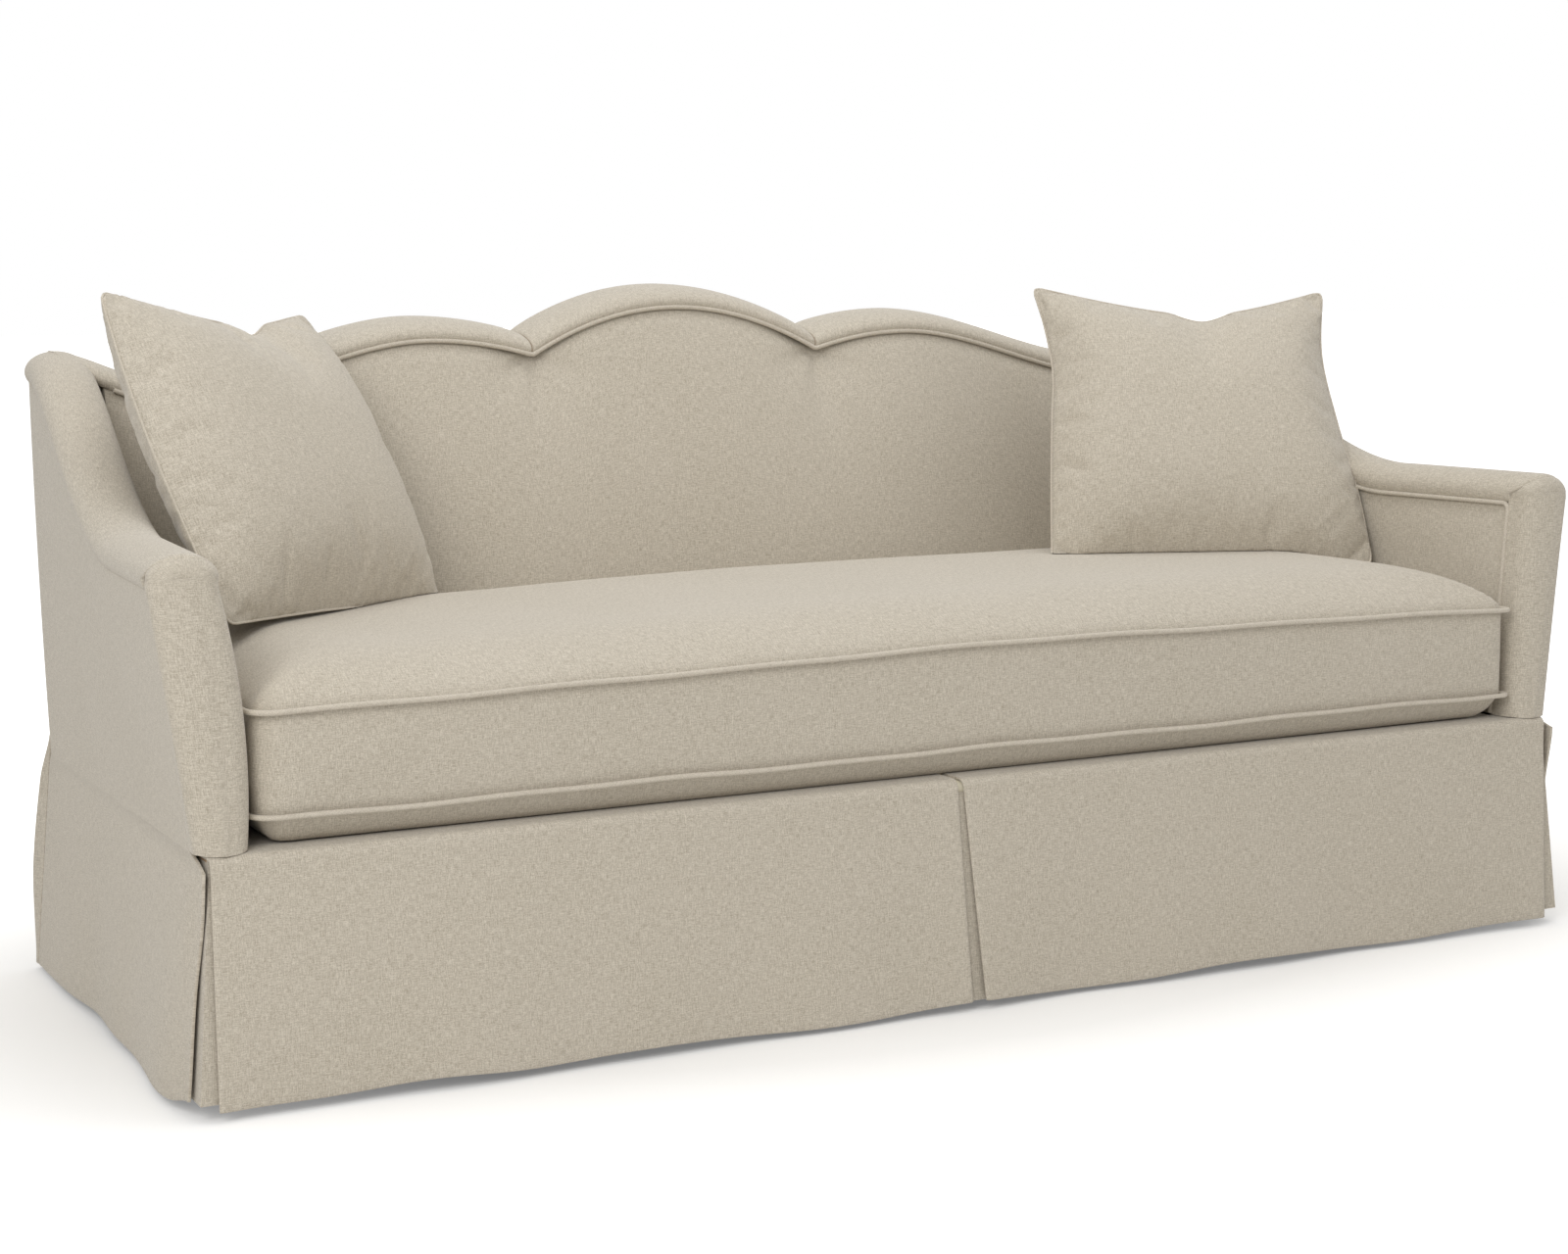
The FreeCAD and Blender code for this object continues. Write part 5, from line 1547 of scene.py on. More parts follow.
    def build(self) -> list[bpy.types.Object]:
        """Builds the back.

        Returns:
            Its pieces.
        """
        rows = [
            (self.border(), self.palette.linen, "back_border_roll", Slot.LINEN),
            (self.inside(), self.palette.linen, "inside_back", Slot.LINEN),
            (self.outside(), self.palette.linen, "outside_back", Slot.LINEN),
            (self.piping(), self.palette.welt, "back_welt", Slot.WELT),
        ]
        for piece, material, node, slot in rows:
            dress(piece, material)
            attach(piece, "frame")
            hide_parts(node)
        return [row[0] for row in rows]


@dataclass
class Skirt:
    """The waterfall skirt, from under the cushion to the floor, with its kick pleats."""

    lines: SofaLines
    palette: Palette
    top_reach: float = 0.005
    hem_reach: float = 0.023
    nose: float = 0.012
    lip: float = 0.052
    wave: float = 0.004
    gap_top: float = 0.004
    gap_hem: float = 0.0095
    drift: float = 0.018
    underlay_width: float = 0.190
    corner_gap: float = 0.010
    right_draw: float = 0.010
    rear_round: float = 0.011
    corner_leg: float = 0.070
    rear_top: float = 0.334
    rear_hem: float = 0.024
    pleat_top: float = 0.290
    pleat_foot: float = 0.012
    corner_top: float = 0.3066
    corner_foot: float = 0.021
    corner_inset: float = 0.0075
    pleat_fall: float = 0.278
    rear_fall: float = 0.335
    cloth: float = 0.0038
    rear_profile: Curve = (
        (0.010, 0.0285),
        (0.030, 0.0310),
        (0.066, 0.0370),
        (0.135, 0.0430),
        (0.198, 0.0400),
        (0.278, 0.0240),
        (0.334, 0.0092),
    )

    def front_y(self, z: float) -> float:
        """Front of the skirt at a height.

        Args:
            z: Height.

        Returns:
            Y of the cloth.
        """
        line = self.lines
        drop = (line.deck - z) / (line.deck - line.hem)
        return -line.arm_front - mix(self.top_reach, self.hem_reach, drop)

    def front(self, side: int) -> bpy.types.Object:
        """One half of the front skirt.

        Args:
            side: 1 for the right half, -1 for the left.

        Returns:
            The piece.
        """
        line = self.lines
        corner = side * (line.arm_outer(-line.arm_front, line.deck) - self.corner_gap)
        bend = line.deck - self.nose
        pivot = self.front_y(bend) + self.nose

        def form(u: float, v: float) -> Vector:
            """The deck's lip, the nose and the hanging cloth.

            Args:
                u: Share from the corner to the middle.
                v: 0 to 1 on the deck, to 2 round the nose, to 3 down to the hem.

            Returns:
                The point of the surface.
            """
            if v <= 1:
                y, z = mix(self.lip - line.arm_front, pivot, v), line.deck
            elif v <= 2:
                angle = (v - 1) * math.pi / 2
                y, z = pivot - self.nose * math.sin(angle), bend + self.nose * math.cos(angle)
            else:
                z = mix(bend, line.hem, v - 2)
                y = self.front_y(z)
            drop = (line.deck - z) / (line.deck - line.hem)
            hem_corner = corner - self.right_draw if side > 0 else corner - 0.003
            hem_x = mix(hem_corner, side * self.gap_hem + self.drift, u)
            x = mix(mix(corner, side * self.gap_top, u), hem_x, drop)
            slow = 0.8 * math.sin(u * 12.5 + (0.4 if side > 0 else 3.6)) + 0.45 * math.sin(u * 27 + side)
            wave = self.wave * drop**1.3 * slow
            edge = min(u, 1 - u) * abs(corner)
            fold = 0.0022 * (1 - clamp(edge / 0.006)) ** 2 * clamp(drop * 8)
            curl = 0.004 * drop * bump(edge, 0.05)
            lift = 0.0030 * drop**5 * math.sin(u * 12.5 + 1.0)
            if side < 0:
                lift += 0.009 * drop**5 * bump(u - 0.27, 0.10)
            return Vector((x, y - wave + fold - curl, z + lift))

        rows = [0, 0.25, 0.5, 0.75, 1] + [1 + step / 8 for step in range(1, 9)]
        rows += [2 + step / 40 for step in range(1, 41)]
        fine = [step * 0.0009 for step in range(1, 9)]
        columns = [0.0] + fine + spread(0.009, 0.991, 130) + [1 - u for u in reversed(fine)] + [1.0]
        name = "skirt_front_right_cloth" if side > 0 else "skirt_front_left_cloth"
        return Bench.cloth(name, form, columns, rows, FRONT + UP * 0.2, self.cloth)

    def underlay(self) -> bpy.types.Object:
        """The cloth behind the centre pleat.

        Returns:
            The piece.
        """
        middle = self.drift / 2

        def form(u: float, v: float) -> Vector:
            """The flat strip behind the opening.

            Args:
                u: Share across the piece, its column.
                v: Share along the piece, its row.

            Returns:
                The point of the surface.
            """
            z = mix(self.pleat_top, self.pleat_foot, v)
            y = self.front_y(z) + self.cloth + 0.0016
            return Vector((middle + self.underlay_width * (u - 0.5), y, z))

        return Bench.cloth("centre_pleat_cloth", form, spread(0, 1, 24), spread(0, 1, 34), FRONT, 0.002)

    def corners(self) -> bpy.types.Object:
        """The folded cloth behind the four open corners.

        Returns:
            The piece.
        """
        line = self.lines
        strips, columns = [], [0, 0.4, 0.8, 0.95, 1, 1.05, 1.2, 1.6, 2]
        for side in (-1, 1):
            for rear in (False, True):
                def form(u: float, v: float) -> Vector:
                    """A strip round one corner, inside the skirts.

                    Args:
                        u: 0 to 1 along the front or rear, to 2 along the side.
                        v: Share downwards.

                    Returns:
                        The point of the surface.
                    """
                    z = mix(self.corner_top, self.corner_foot, v)
                    if rear:
                        y_out = self.rear_y(z) - 0.0012
                        inward = -1
                    else:
                        y_out = self.front_y(z) + self.cloth + 0.0036 + 0.008 * ease((z - 0.286) / 0.02)
                        inward = 1
                    beside = line.back_base if rear else y_out
                    x_out = line.side_skirt(beside, z) - self.cloth - self.corner_inset
                    if u <= 1:
                        return Vector((side * (x_out - self.corner_leg * (1 - u)), y_out, z))
                    y = y_out + inward * self.corner_leg * (u - 1)
                    limit = line.side_skirt(y, z) - self.cloth - self.corner_inset
                    return Vector((side * min(x_out, limit), y, z))

                strip = Bench.skin("corner_strip", form, columns, spread(0, 1, 24))
                Bench.face_towards(strip, Vector((side, 1 if rear else -1, 0)))
                Bench.thicken(strip, 0.0018)
                strips.append(strip)
        piece = Bench.join("corner_pleats_cloth", strips, stitch=False)
        Bench.smooth(piece, 35)
        return piece

    def rear_y(self, z: float) -> float:
        """Inner face of the rear skirt, straight.

        Args:
            z: Height.

        Returns:
            Y of the cloth.
        """
        line = self.lines
        drop = (self.rear_top - z) / (self.rear_top - line.hem)
        return mix(line.rear(self.rear_top), line.back_base + self.rear_hem, drop)

    def back(self) -> bpy.types.Object:
        """The skirt behind, bellied out half way down.

        Returns:
            The piece.
        """
        line = self.lines
        top_reach = line.arm_outer(line.back_base, line.deck) - 0.001
        hem_reach = line.side_skirt(line.back_base, line.hem)

        def form(u: float, v: float) -> Vector:
            """The rear cloth and its returns round both corners.

            Args:
                u: -1 to 1 across, to 2 round a corner, to 3 at its end.
                v: Share downwards.

            Returns:
                The point of the surface.
            """
            z = mix(self.rear_top, line.hem, v)
            wave = 0.004 * v * math.sin(u * 19) + 0.003 * v * math.sin(u * 37 + 1)
            rear = line.back_base + along(self.rear_profile, z) + wave * (1 - clamp((abs(u) - 0.85) / 0.1))
            belly = 0.006 * ease(v * 5) * (1 - ease((v - 0.55) / 0.45)) if abs(u) < 2.4 else 0.0
            half = mix(top_reach, hem_reach, v) + belly
            radius = min(self.rear_round, along(self.rear_profile, z) + 0.002 - 0.014 * v)
            if abs(u) <= 1:
                return Vector((u * (half - radius), rear, z))
            if abs(u) <= 2:
                angle = (abs(u) - 1) * math.pi / 2
                x = half - radius + radius * math.sin(angle)
                return Vector((math.copysign(x, u), rear - radius * (1 - math.cos(angle)), z))
            tail = line.back_base - 0.0034 + 0.014 * v
            return Vector((math.copysign(half, u), mix(rear - radius, tail, abs(u) - 2), z))

        wrap = [1 + step / 8 for step in range(1, 9)] + [2.5, 3.0]
        columns = [-u for u in reversed(wrap)] + spread(-1, 1, 180) + wrap
        return Bench.cloth("skirt_back_cloth", form, columns, spread(0, 1, 40), -FRONT, self.cloth)

    def build(self) -> list[bpy.types.Object]:
        """Builds the skirt.

        Returns:
            Its pieces.
        """
        line = self.lines
        half = line.arm_outer(-line.arm_front, line.deck)
        fall = line.deck - line.hem + self.nose + self.lip
        rows = [
            (self.front(-1), "skirt_front_left", (half, fall)),
            (self.front(1), "skirt_front_right", (half, fall)),
            (self.underlay(), "skirt_centre_pleat", (self.underlay_width, self.pleat_fall)),
            (self.back(), "skirt_back", (2 * half, self.rear_fall)),
            (self.corners(), "skirt_corner_pleats", (8 * self.corner_leg, self.pleat_fall)),
        ]
        for piece, node, flat in rows:
            dress(piece, self.palette.linen)
            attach(piece, "frame")
            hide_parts(node)
        return [row[0] for row in rows]


@dataclass
class SeatCushion:
    """The bench cushion: crowned top, boxing between two welts, and its zipper."""

    lines: SofaLines
    palette: Palette
    side_gap: float = 0.0135
    rear_draw: float = 0.005
    setback: float = 0.010
    rear_gap: float = 0.014
    boxing_base: float = 0.037
    boxing: float = 0.125
    crown: float = 0.060
    shoulder: float = 0.150
    tuck: float = 0.026
    swell: float = 0.003
    welt: float = 0.0034
    arch: float = 0.0115
    left_sink: float = 0.16
    pressure: float = 3.0
    frames: int = 12
    cap: float = 0.004
    wrap: float = 0.0045
    corner_rounds: tuple[float, ...] = (0.034, 0.014, 0.03, 0.03)

    @property
    def front(self) -> float:
        """Front boxing."""
        return self.setback - self.lines.arm_front

    @property
    def rear(self) -> float:
        """Rear boxing."""
        return self.lines.back_face - self.rear_gap

    @property
    def low(self) -> float:
        """Lower welt's height."""
        return self.lines.deck + self.boxing_base

    @property
    def high(self) -> float:
        """Upper welt's height."""
        return self.low + self.boxing

    def half(self, y: float) -> float:
        """Half width of the cushion at y."""
        draw = self.lines.arm_splay + self.rear_draw
        return self.lines.half_seat - self.side_gap - draw * (y - self.front) / self.lines.arm_length

    def plan(self, u: float, v: float) -> tuple[float, float, float]:
        """A place on the cushion's plan.

        Args:
            u: Share across, from -1 to 1.
            v: Share front to rear, from -1 to 1.

        Returns:
            X, Y and the distance to the nearest edge, softened at the corners.
        """
        y = mix(self.front, self.rear, (v + 1) / 2)
        half = self.half(y)
        x = u * half
        to_side, to_end = half * (1 - abs(u)), (self.rear - self.front) / 2 * (1 - abs(v))
        power = 3.0
        both = (max(to_side, 1e-6) ** -power + max(to_end, 1e-6) ** -power) ** (-1 / power)
        corner = (0 if u < 0 else 1) if v < 0 else (3 if u < 0 else 2)
        inward, along_y = rounded(to_side, to_end, self.corner_rounds[corner])
        return x - math.copysign(inward, u), y - math.copysign(along_y, v), both

    def upper(self, x: float) -> float:
        """Height of the upper welt, arched over the middle and a little uneven."""
        arch = max(0.0, 1 - ((x - 0.12) / 0.86) ** 2) ** 1.5
        return self.high + self.arch * arch + 0.0010 * math.sin(9 * x + 1) + 0.0007 * math.sin(23 * x + 2)

    def lower(self, x: float) -> float:
        """Height of the lower welt, a little uneven."""
        return self.low + 0.0010 * math.sin(11 * x + 0.5) + 0.0007 * math.sin(27 * x)

    def top_height(self, x: float, y: float) -> float:
        """Height of the crowned top at a place.

        Args:
            x: Across the cushion.
            y: From front to rear.

        Returns:
            The height.
        """
        v = (y - self.front) / (self.rear - self.front) * 2 - 1
        u = clamp(x / self.half(y), -1, 1)
        return self.upper(x) + self.crown_at(self.plan(u, clamp(v, -1, 1))[2], x)

    def crown_at(self, edge: float, x: float) -> float:
        """How far the top stands above the welt.

        Args:
            edge: Distance from the nearest edge.
            x: Across the cushion, which has settled to the left.

        Returns:
            The height over the welt.
        """
        share = clamp(edge / self.shoulder)
        top = self.crown - (self.upper(x) - self.high) * 0.75
        return top * (1 - self.left_sink * bump(x + 0.60, 0.34)) * (1 - (1 - share) ** 2.3) ** 0.75

    def shell(self, shrink: float = 0.0) -> bpy.types.Object:
        """The closed cover before it is stuffed.

        Args:
            shrink: How much smaller than full.

        Returns:
            The piece.
        """
        wide = [math.copysign(1 - (1 - abs(s)) ** 1.15, s) for s in spread(-1, 1, 161)]
        deep = [math.copysign(1 - (1 - abs(s)) ** 1.15, s) for s in spread(-1, 1, 61)]

        def top(u: float, v: float) -> Vector:
            """The crowned top.

            Args:
                u: Share across the piece, its column.
                v: Share along the piece, its row.

            Returns:
                The point of the surface.
            """
            x, y, edge = self.plan(u, v)
            return Vector((x, y, self.upper(x) + self.crown_at(edge, x)))

        def bottom(u: float, v: float) -> Vector:
            """The underside, tucked in below the welt.

            Args:
                u: Share across the piece, its column.
                v: Share along the piece, its row.

            Returns:
                The point of the surface.
            """
            x, y, edge = self.plan(u, v)
            share = clamp(edge / self.tuck)
            low = self.lower(x)
            return Vector((x, y, low - (low - self.lines.deck - 0.0005) * math.sin(share * math.pi / 2)))

        top_panel = Bench.skin("cushion_top_panel", top, wide, deep)
        low_panel = Bench.skin("cushion_low_panel", bottom, wide, deep)
        Bench.face_towards(top_panel, UP)
        Bench.face_towards(low_panel, -UP)
        walls, outward = [], (FRONT, -LEFT, -FRONT, LEFT)
        for index in range(4):
            run = wide if index % 2 == 0 else deep

            def wall(s: float, t: float) -> Vector:
                """One side of the boxing.

                Args:
                    s: Share along the side, from -1 to 1.
                    t: Share upwards.

                Returns:
                    The point of the surface.
                """
                u, v = ((s, -1.0), (1.0, s), (s, 1.0), (-1.0, s))[index]
                x, y, _ = self.plan(u, v)
                out = 0.0 if index == 2 else self.swell * math.sin(math.pi * t) * clamp((1 - abs(s)) * 20)
                return Vector((x, y, mix(self.lower(x), self.upper(x), t))) + outward[index] * out

            walls.append(Bench.skin(f"cushion_wall_{index}", wall, run, spread(0, 1, 13)))
            Bench.face_towards(walls[-1], outward[index])
        piece = Bench.join("cushion_cover_cloth", [top_panel, low_panel, *walls])
        if shrink:
            for vertex in piece.data.vertices:
                vertex.co -= vertex.normal * shrink
        return piece

    def cover(self) -> bpy.types.Object:
        """The stuffed cover.

        Returns:
            The piece.
        """
        piece = self.shell()
        Bench.inflate(piece, self.pressure, self.frames, self.cap)
        Bench.reshape(piece, lambda spot: Vector((spot.x, min(spot.y, self.rear), spot.z)))
        Bench.smooth(piece, 60)
        return piece

    def core(self) -> bpy.types.Object:
        """The wrapped foam inside the cover.

        Returns:
            The piece.
        """
        piece = self.shell(self.wrap)
        piece.name = piece.data.name = "cushion_foam_core"
        Bench.smooth(piece, 60)
        return piece

    def zipper(self) -> bpy.types.Object:
        """Woven tape with a row of teeth along its middle.

        Returns:
            The piece.
        """
        low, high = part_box("cushion_zipper")

        def form(x: float, v: float) -> Vector:
            """The tape with its row of teeth.

            Args:
                x: Along the tape.
                v: Share upwards.

            Returns:
                The point of the surface.
            """
            z = mix(low[2], high[2], v)
            tooth = 1.4 + 0.6 * math.cos(x * math.pi / 0.0017)
            teeth = 0.0006 * bump(z - (low[2] + high[2]) / 2, 0.0022) * tooth
            return Vector((x, high[1] - 0.0007 + min(teeth, 0.0007), z))

        columns, rows = spread(low[0], high[0], 1101), [0, 0.2, 0.4, 0.46, 0.5, 0.54, 0.6, 0.8, 1]
        return Bench.cloth("cushion_zipper_tape", form, columns, rows, -FRONT, 0.0006, 40)

    def piping(self, name: str, height: Callable[[float], float]) -> bpy.types.Object:
        """A welt round the cushion.

        Args:
            name: The piece's name.
            height: Gives its height at a place across the cushion.

        Returns:
            The piece.
        """
        reach = self.welt + 0.0012
        front, rear = self.front - reach, self.rear + reach
        corners = [
            Vector((-self.half(front) - reach, front, 0)),
            Vector((self.half(front) + reach, front, 0)),
            Vector((self.half(rear) + reach, rear, 0)),
            Vector((-self.half(rear) - reach, rear, 0)),
        ]
        route: list[Vector] = []
        for index, corner in enumerate(corners):
            radius, following = self.corner_rounds[index], self.corner_rounds[(index + 1) % 4]
            back = (corners[index - 1] - corner).normalized()
            ahead = (corners[(index + 1) % 4] - corner).normalized()
            middle = corner + (back + ahead) * radius
            for step in range(9):
                angle = step / 8 * math.pi / 2
                route.append(middle - (ahead * math.cos(angle) + back * math.sin(angle)) * radius)
            start, end = route[-1], corners[(index + 1) % 4] - ahead * following
            count = max(4, int((end - start).length / 0.014))
            route += [start.lerp(end, step / count) for step in range(1, count)]
        for point in route:
            point.z = height(point.x)
        return Bench.piping(name, route, self.welt, closed=True)

    def build(self) -> list[bpy.types.Object]:
        """Builds the cushion.

        Returns:
            Its pieces.
        """
        cover = self.cover()
        top = self.piping("cushion_top_cord", self.upper)
        bottom = self.piping("cushion_bottom_cord", self.lower)
        colours = self.palette
        rows = [
            (cover, colours.linen, "cushion_cover", Slot.LINEN),
            (top, colours.welt, "cushion_top_welt", Slot.WELT),
            (bottom, colours.welt, "cushion_bottom_welt", Slot.WELT),
            (self.core(), colours.wadding, "cushion_core", Slot.FOAM),
            (self.zipper(), colours.tape, "cushion_zipper", Slot.TAPE),
        ]
        for piece, material, node, slot in rows:
            dress(piece, material)
            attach(piece, "seat_cushion")
            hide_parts(node)
        return [row[0] for row in rows]


@dataclass
class ThrowPillow:
    """A loose pillow with knife edges, leaning in its corner."""

    lines: SofaLines
    palette: Palette
    cushion: SeatCushion
    side: str
    gap: float
    y: float
    turn: float
    roll: float
    dent: float
    near_side: Curve
    far_side: Curve
    tips: tuple[float, float] = (0.0, 0.0)
    width: float = 0.490
    height: float = 0.470
    thickness: float = 0.150
    edge: float = 0.005
    ear_drop: float = 0.039
    chop: float = 0.014
    chop_width: float = 0.120
    base_drop: float = 0.008
    corner: float = 0.016
    lean: float = math.radians(30)
    sag: float = 0.014
    start: float = 0.90
    growth: float = 0.02
    pressure: float = 5.0
    frames: int = 20
    cap: float = 0.014
    cord: float = 0.0016

    def place(self) -> Matrix:
        """Where the pillow leans, its lower edge on the cushion.

        Returns:
            The pillow's placing.
        """
        sign = 1 if self.side == "right" else -1
        x = sign * (self.lines.half_seat - self.gap - self.width / 2 * math.cos(self.turn))
        turn = Matrix.Rotation(-sign * self.turn, 4, "Z")
        lean = Matrix.Rotation(-self.lean, 4, "X")
        roll = Matrix.Rotation(self.roll, 4, "Y")
        rotation = turn @ lean @ roll
        rise = 0.0
        for share in spread(-1, 1, 33):
            offset = rotation @ Vector((share * self.width / 2, 0, self.brim(share)[0]))
            rise = max(rise, self.cushion.top_height(x + offset.x, self.y + offset.y) - offset.z)
        return Matrix.Translation((x, self.y, rise)) @ rotation

    def brim(self, u: float) -> tuple[float, float]:
        """Heights of the lower and the upper edge at a share across.

        Args:
            u: Share across, from -1 to 1.

        Returns:
            The lower and the upper height.
        """
        x = u * self.width / 2
        middle = 2 * self.dent / self.width
        lean_to = (u - middle) / (1 - middle if u > middle else 1 + middle)
        dent = self.chop * max(0.0, 1 - (2 * (x - self.dent) / self.chop_width) ** 2) ** 2
        tip = self.tips[0] * clamp(-u) ** 3 + self.tips[1] * clamp(u) ** 3
        top = self.height - self.ear_drop * (1 - abs(lean_to) ** 1.5) - dent - tip
        return self.base_drop * (1 - abs(u) ** 1.5), top

    def outline(self, u: float, v: float, inside: float = 0.0) -> tuple[float, float]:
        """A place on the pillow's flat plan, its sides drawn in and its corners rounded.

        Args:
            u: Share across, from -1 to 1.
            v: Share upwards, from -1 to 1.
            inside: How far inside the seam the edge stays.

        Returns:
            X and Z.
        """
        low, top = self.brim(u)
        low, top = low + inside, top - inside
        half = self.width / 2 - inside - along(self.near_side if u < 0 else self.far_side, v) * abs(u)
        x, z = u * half, mix(low, top, (v + 1) / 2)
        inward, along_z = rounded(half * (1 - abs(u)), (top - low) / 2 * (1 - abs(v)), self.corner)
        return x - math.copysign(inward, u), z - math.copysign(along_z, v)

    def face(self, sign: int, name: str, shrink: float = 0.0, full: float = 1.0) -> bpy.types.Object:
        """One face of the pillow, upright at the origin.

        Args:
            sign: -1 for the front, 1 for the back.
            name: The piece's name.
            shrink: How far inside the seams it stays.
            full: Its share of the whole thickness.

        Returns:
            The face.
        """

        def form(u: float, v: float) -> Vector:
            """One puffed face.

            Args:
                u: Share across, from -1 to 1.
                v: Share upwards, from -1 to 1.

            Returns:
                The point of the surface.
            """
            x, z = self.outline(u, v, shrink)
            round_off = (1 - abs(u) ** 3.0) ** 0.56 * (1 - abs(v) ** 2.6) ** 0.60
            thick = (self.thickness - self.edge - shrink) * round_off * full
            valley = 0.15 * bump(x, 0.060) * clamp((v + 0.15) / 1.15) ** 1.6
            return Vector((x, sign * thick / 2 * (1 - valley), z))

        shares = [math.sin(s * math.pi / 2) for s in spread(-1, 1, 81)]
        shares = [mix(s, t, 0.45) for s, t in zip(shares, spread(-1, 1, 81))]
        panel = Bench.skin(name, form, shares, shares)
        Bench.face_towards(panel, -FRONT * sign)
        return panel

    def creases(self, piece: bpy.types.Object) -> None:
        """Soft folds at the corners, under the chop and above the lower edge.

        Args:
            piece: The cover, upright at the origin.
        """
        reach, top = self.width / 2, self.height
        spots = [
            (-reach + 0.05, top - 0.06, 0.75, 0.8),
            (reach - 0.05, top - 0.06, -0.75, 0.8),
            (-reach + 0.05, 0.05, -0.8, 0.6),
            (reach - 0.05, 0.05, 0.8, 0.6),
            (0.03, 0.055, 0.2, 1.1),
            (-0.06, 0.05, -0.35, 0.8),
            (0.0, top - 0.11, 0.05, 0.8),
        ]

        def move(spot: Vector) -> Vector:
            """Presses the folds into the cloth.

            Args:
                spot: The vertex's place.

            Returns:
                The vertex's new place.
            """
            depth = 0.0
            for x, z, slope, weight in spots:
                dx, dz = spot.x - x, spot.z - z
                across = dx * math.cos(slope) - dz * math.sin(slope)
                along_it = dx * math.sin(slope) + dz * math.cos(slope)
                near = bump(across, 0.038) * bump(along_it, 0.062)
                depth += weight * 0.0034 * math.sin(across * 105 + x * 40) * near
            inner = clamp((abs(spot.y) - 0.004) / 0.03)
            return Vector((spot.x, spot.y - math.copysign(depth * inner, spot.y), spot.z))

        Bench.reshape(piece, move)

    def cover(self) -> bpy.types.Object:
        """The stuffed cover, seams held and faces blown out as cloth.

        Returns:
            The piece.
        """
        name = f"pillow_{self.side}_cloth"
        full = self.start
        faces = [self.face(-1, name + "_front", full=full), self.face(1, name + "_rear", full=full)]
        piece = Bench.join(name, faces)
        held = piece.vertex_groups.new(name="seam")
        held.add([v.index for v in piece.data.vertices if abs(v.co.y) < 0.0004], 1.0, "REPLACE")
        Bench.inflate(piece, self.pressure, self.frames, self.cap, shrink=-self.growth, pinned="seam")
        piece.vertex_groups.clear()
        self.creases(piece)
        return piece

    def seam(self) -> bpy.types.Object:
        """The thin ridge of the knife-edge seam.

        Returns:
            The piece.
        """
        shares = spread(-1, 1, 61)
        route = [(u, -1.0) for u in shares] + [(1.0, v) for v in shares[1:-1]]
        route += [(u, 1.0) for u in reversed(shares)] + [(-1.0, v) for v in reversed(shares[1:-1])]
        points = [Vector((x, 0, z)) for x, z in (self.outline(u, v) for u, v in route)]
        return Bench.piping(f"pillow_{self.side}_seam", points, self.cord, closed=True)

    def filling(self) -> bpy.types.Object:
        """The ticking bag of feathers inside.

        Returns:
            The piece.
        """
        name = f"pillow_{self.side}_feathers"
        faces = [self.face(sign, f"{name}_{sign}", shrink=0.014, full=0.88) for sign in (-1, 1)]
        return Bench.join(name, faces)

    def settle(self, piece: bpy.types.Object, place: Matrix, bed: bpy.types.Object, clearance: float) -> None:
        """The piece goes to its place, sags at its foot and is pressed flat where it meets the cushion.

        Args:
            piece: A piece of the pillow, upright at the origin.
            place: Where it leans.
            bed: The cushion's cover.
            clearance: How far above the cushion the piece stays.
        """
        shape = self.height - self.ear_drop

        def move(spot: Vector) -> Vector:
            """Places, sags and presses one vertex.

            Args:
                spot: The vertex's place.

            Returns:
                The vertex's new place.
            """
            high = clamp(spot.z / shape)
            spot = place @ spot
            spot.z -= self.sag * (1 - high) ** 3
            hit, point, _, _ = bed.ray_cast(Vector((spot.x, spot.y, 0.9)), Vector((0, 0, -1)))
            if hit and spot.z < point.z + clearance:
                spot.z = point.z + clearance
            return spot

        Bench.reshape(piece, move)

    def build(self) -> list[bpy.types.Object]:
        """Builds the pillow.

        Returns:
            Its pieces.
        """
        place, bed = self.place(), bpy.data.objects["cushion_cover_cloth"]
        cover, seam, filling = self.cover(), self.seam(), self.filling()
        rows = (
            (cover, self.palette.linen, 0.0008),
            (seam, self.palette.welt, 0.0020),
            (filling, self.palette.ticking, 0.0060),
        )
        for piece, material, clearance in rows:
            self.settle(piece, place, bed, clearance)
            Bench.smooth(piece, 75)
            dress(piece, material)
            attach(piece, f"pillow_{self.side}")
        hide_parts(f"pillow_{self.side}_cover")
        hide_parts(f"pillow_{self.side}_insert")
        return [cover, seam, filling]


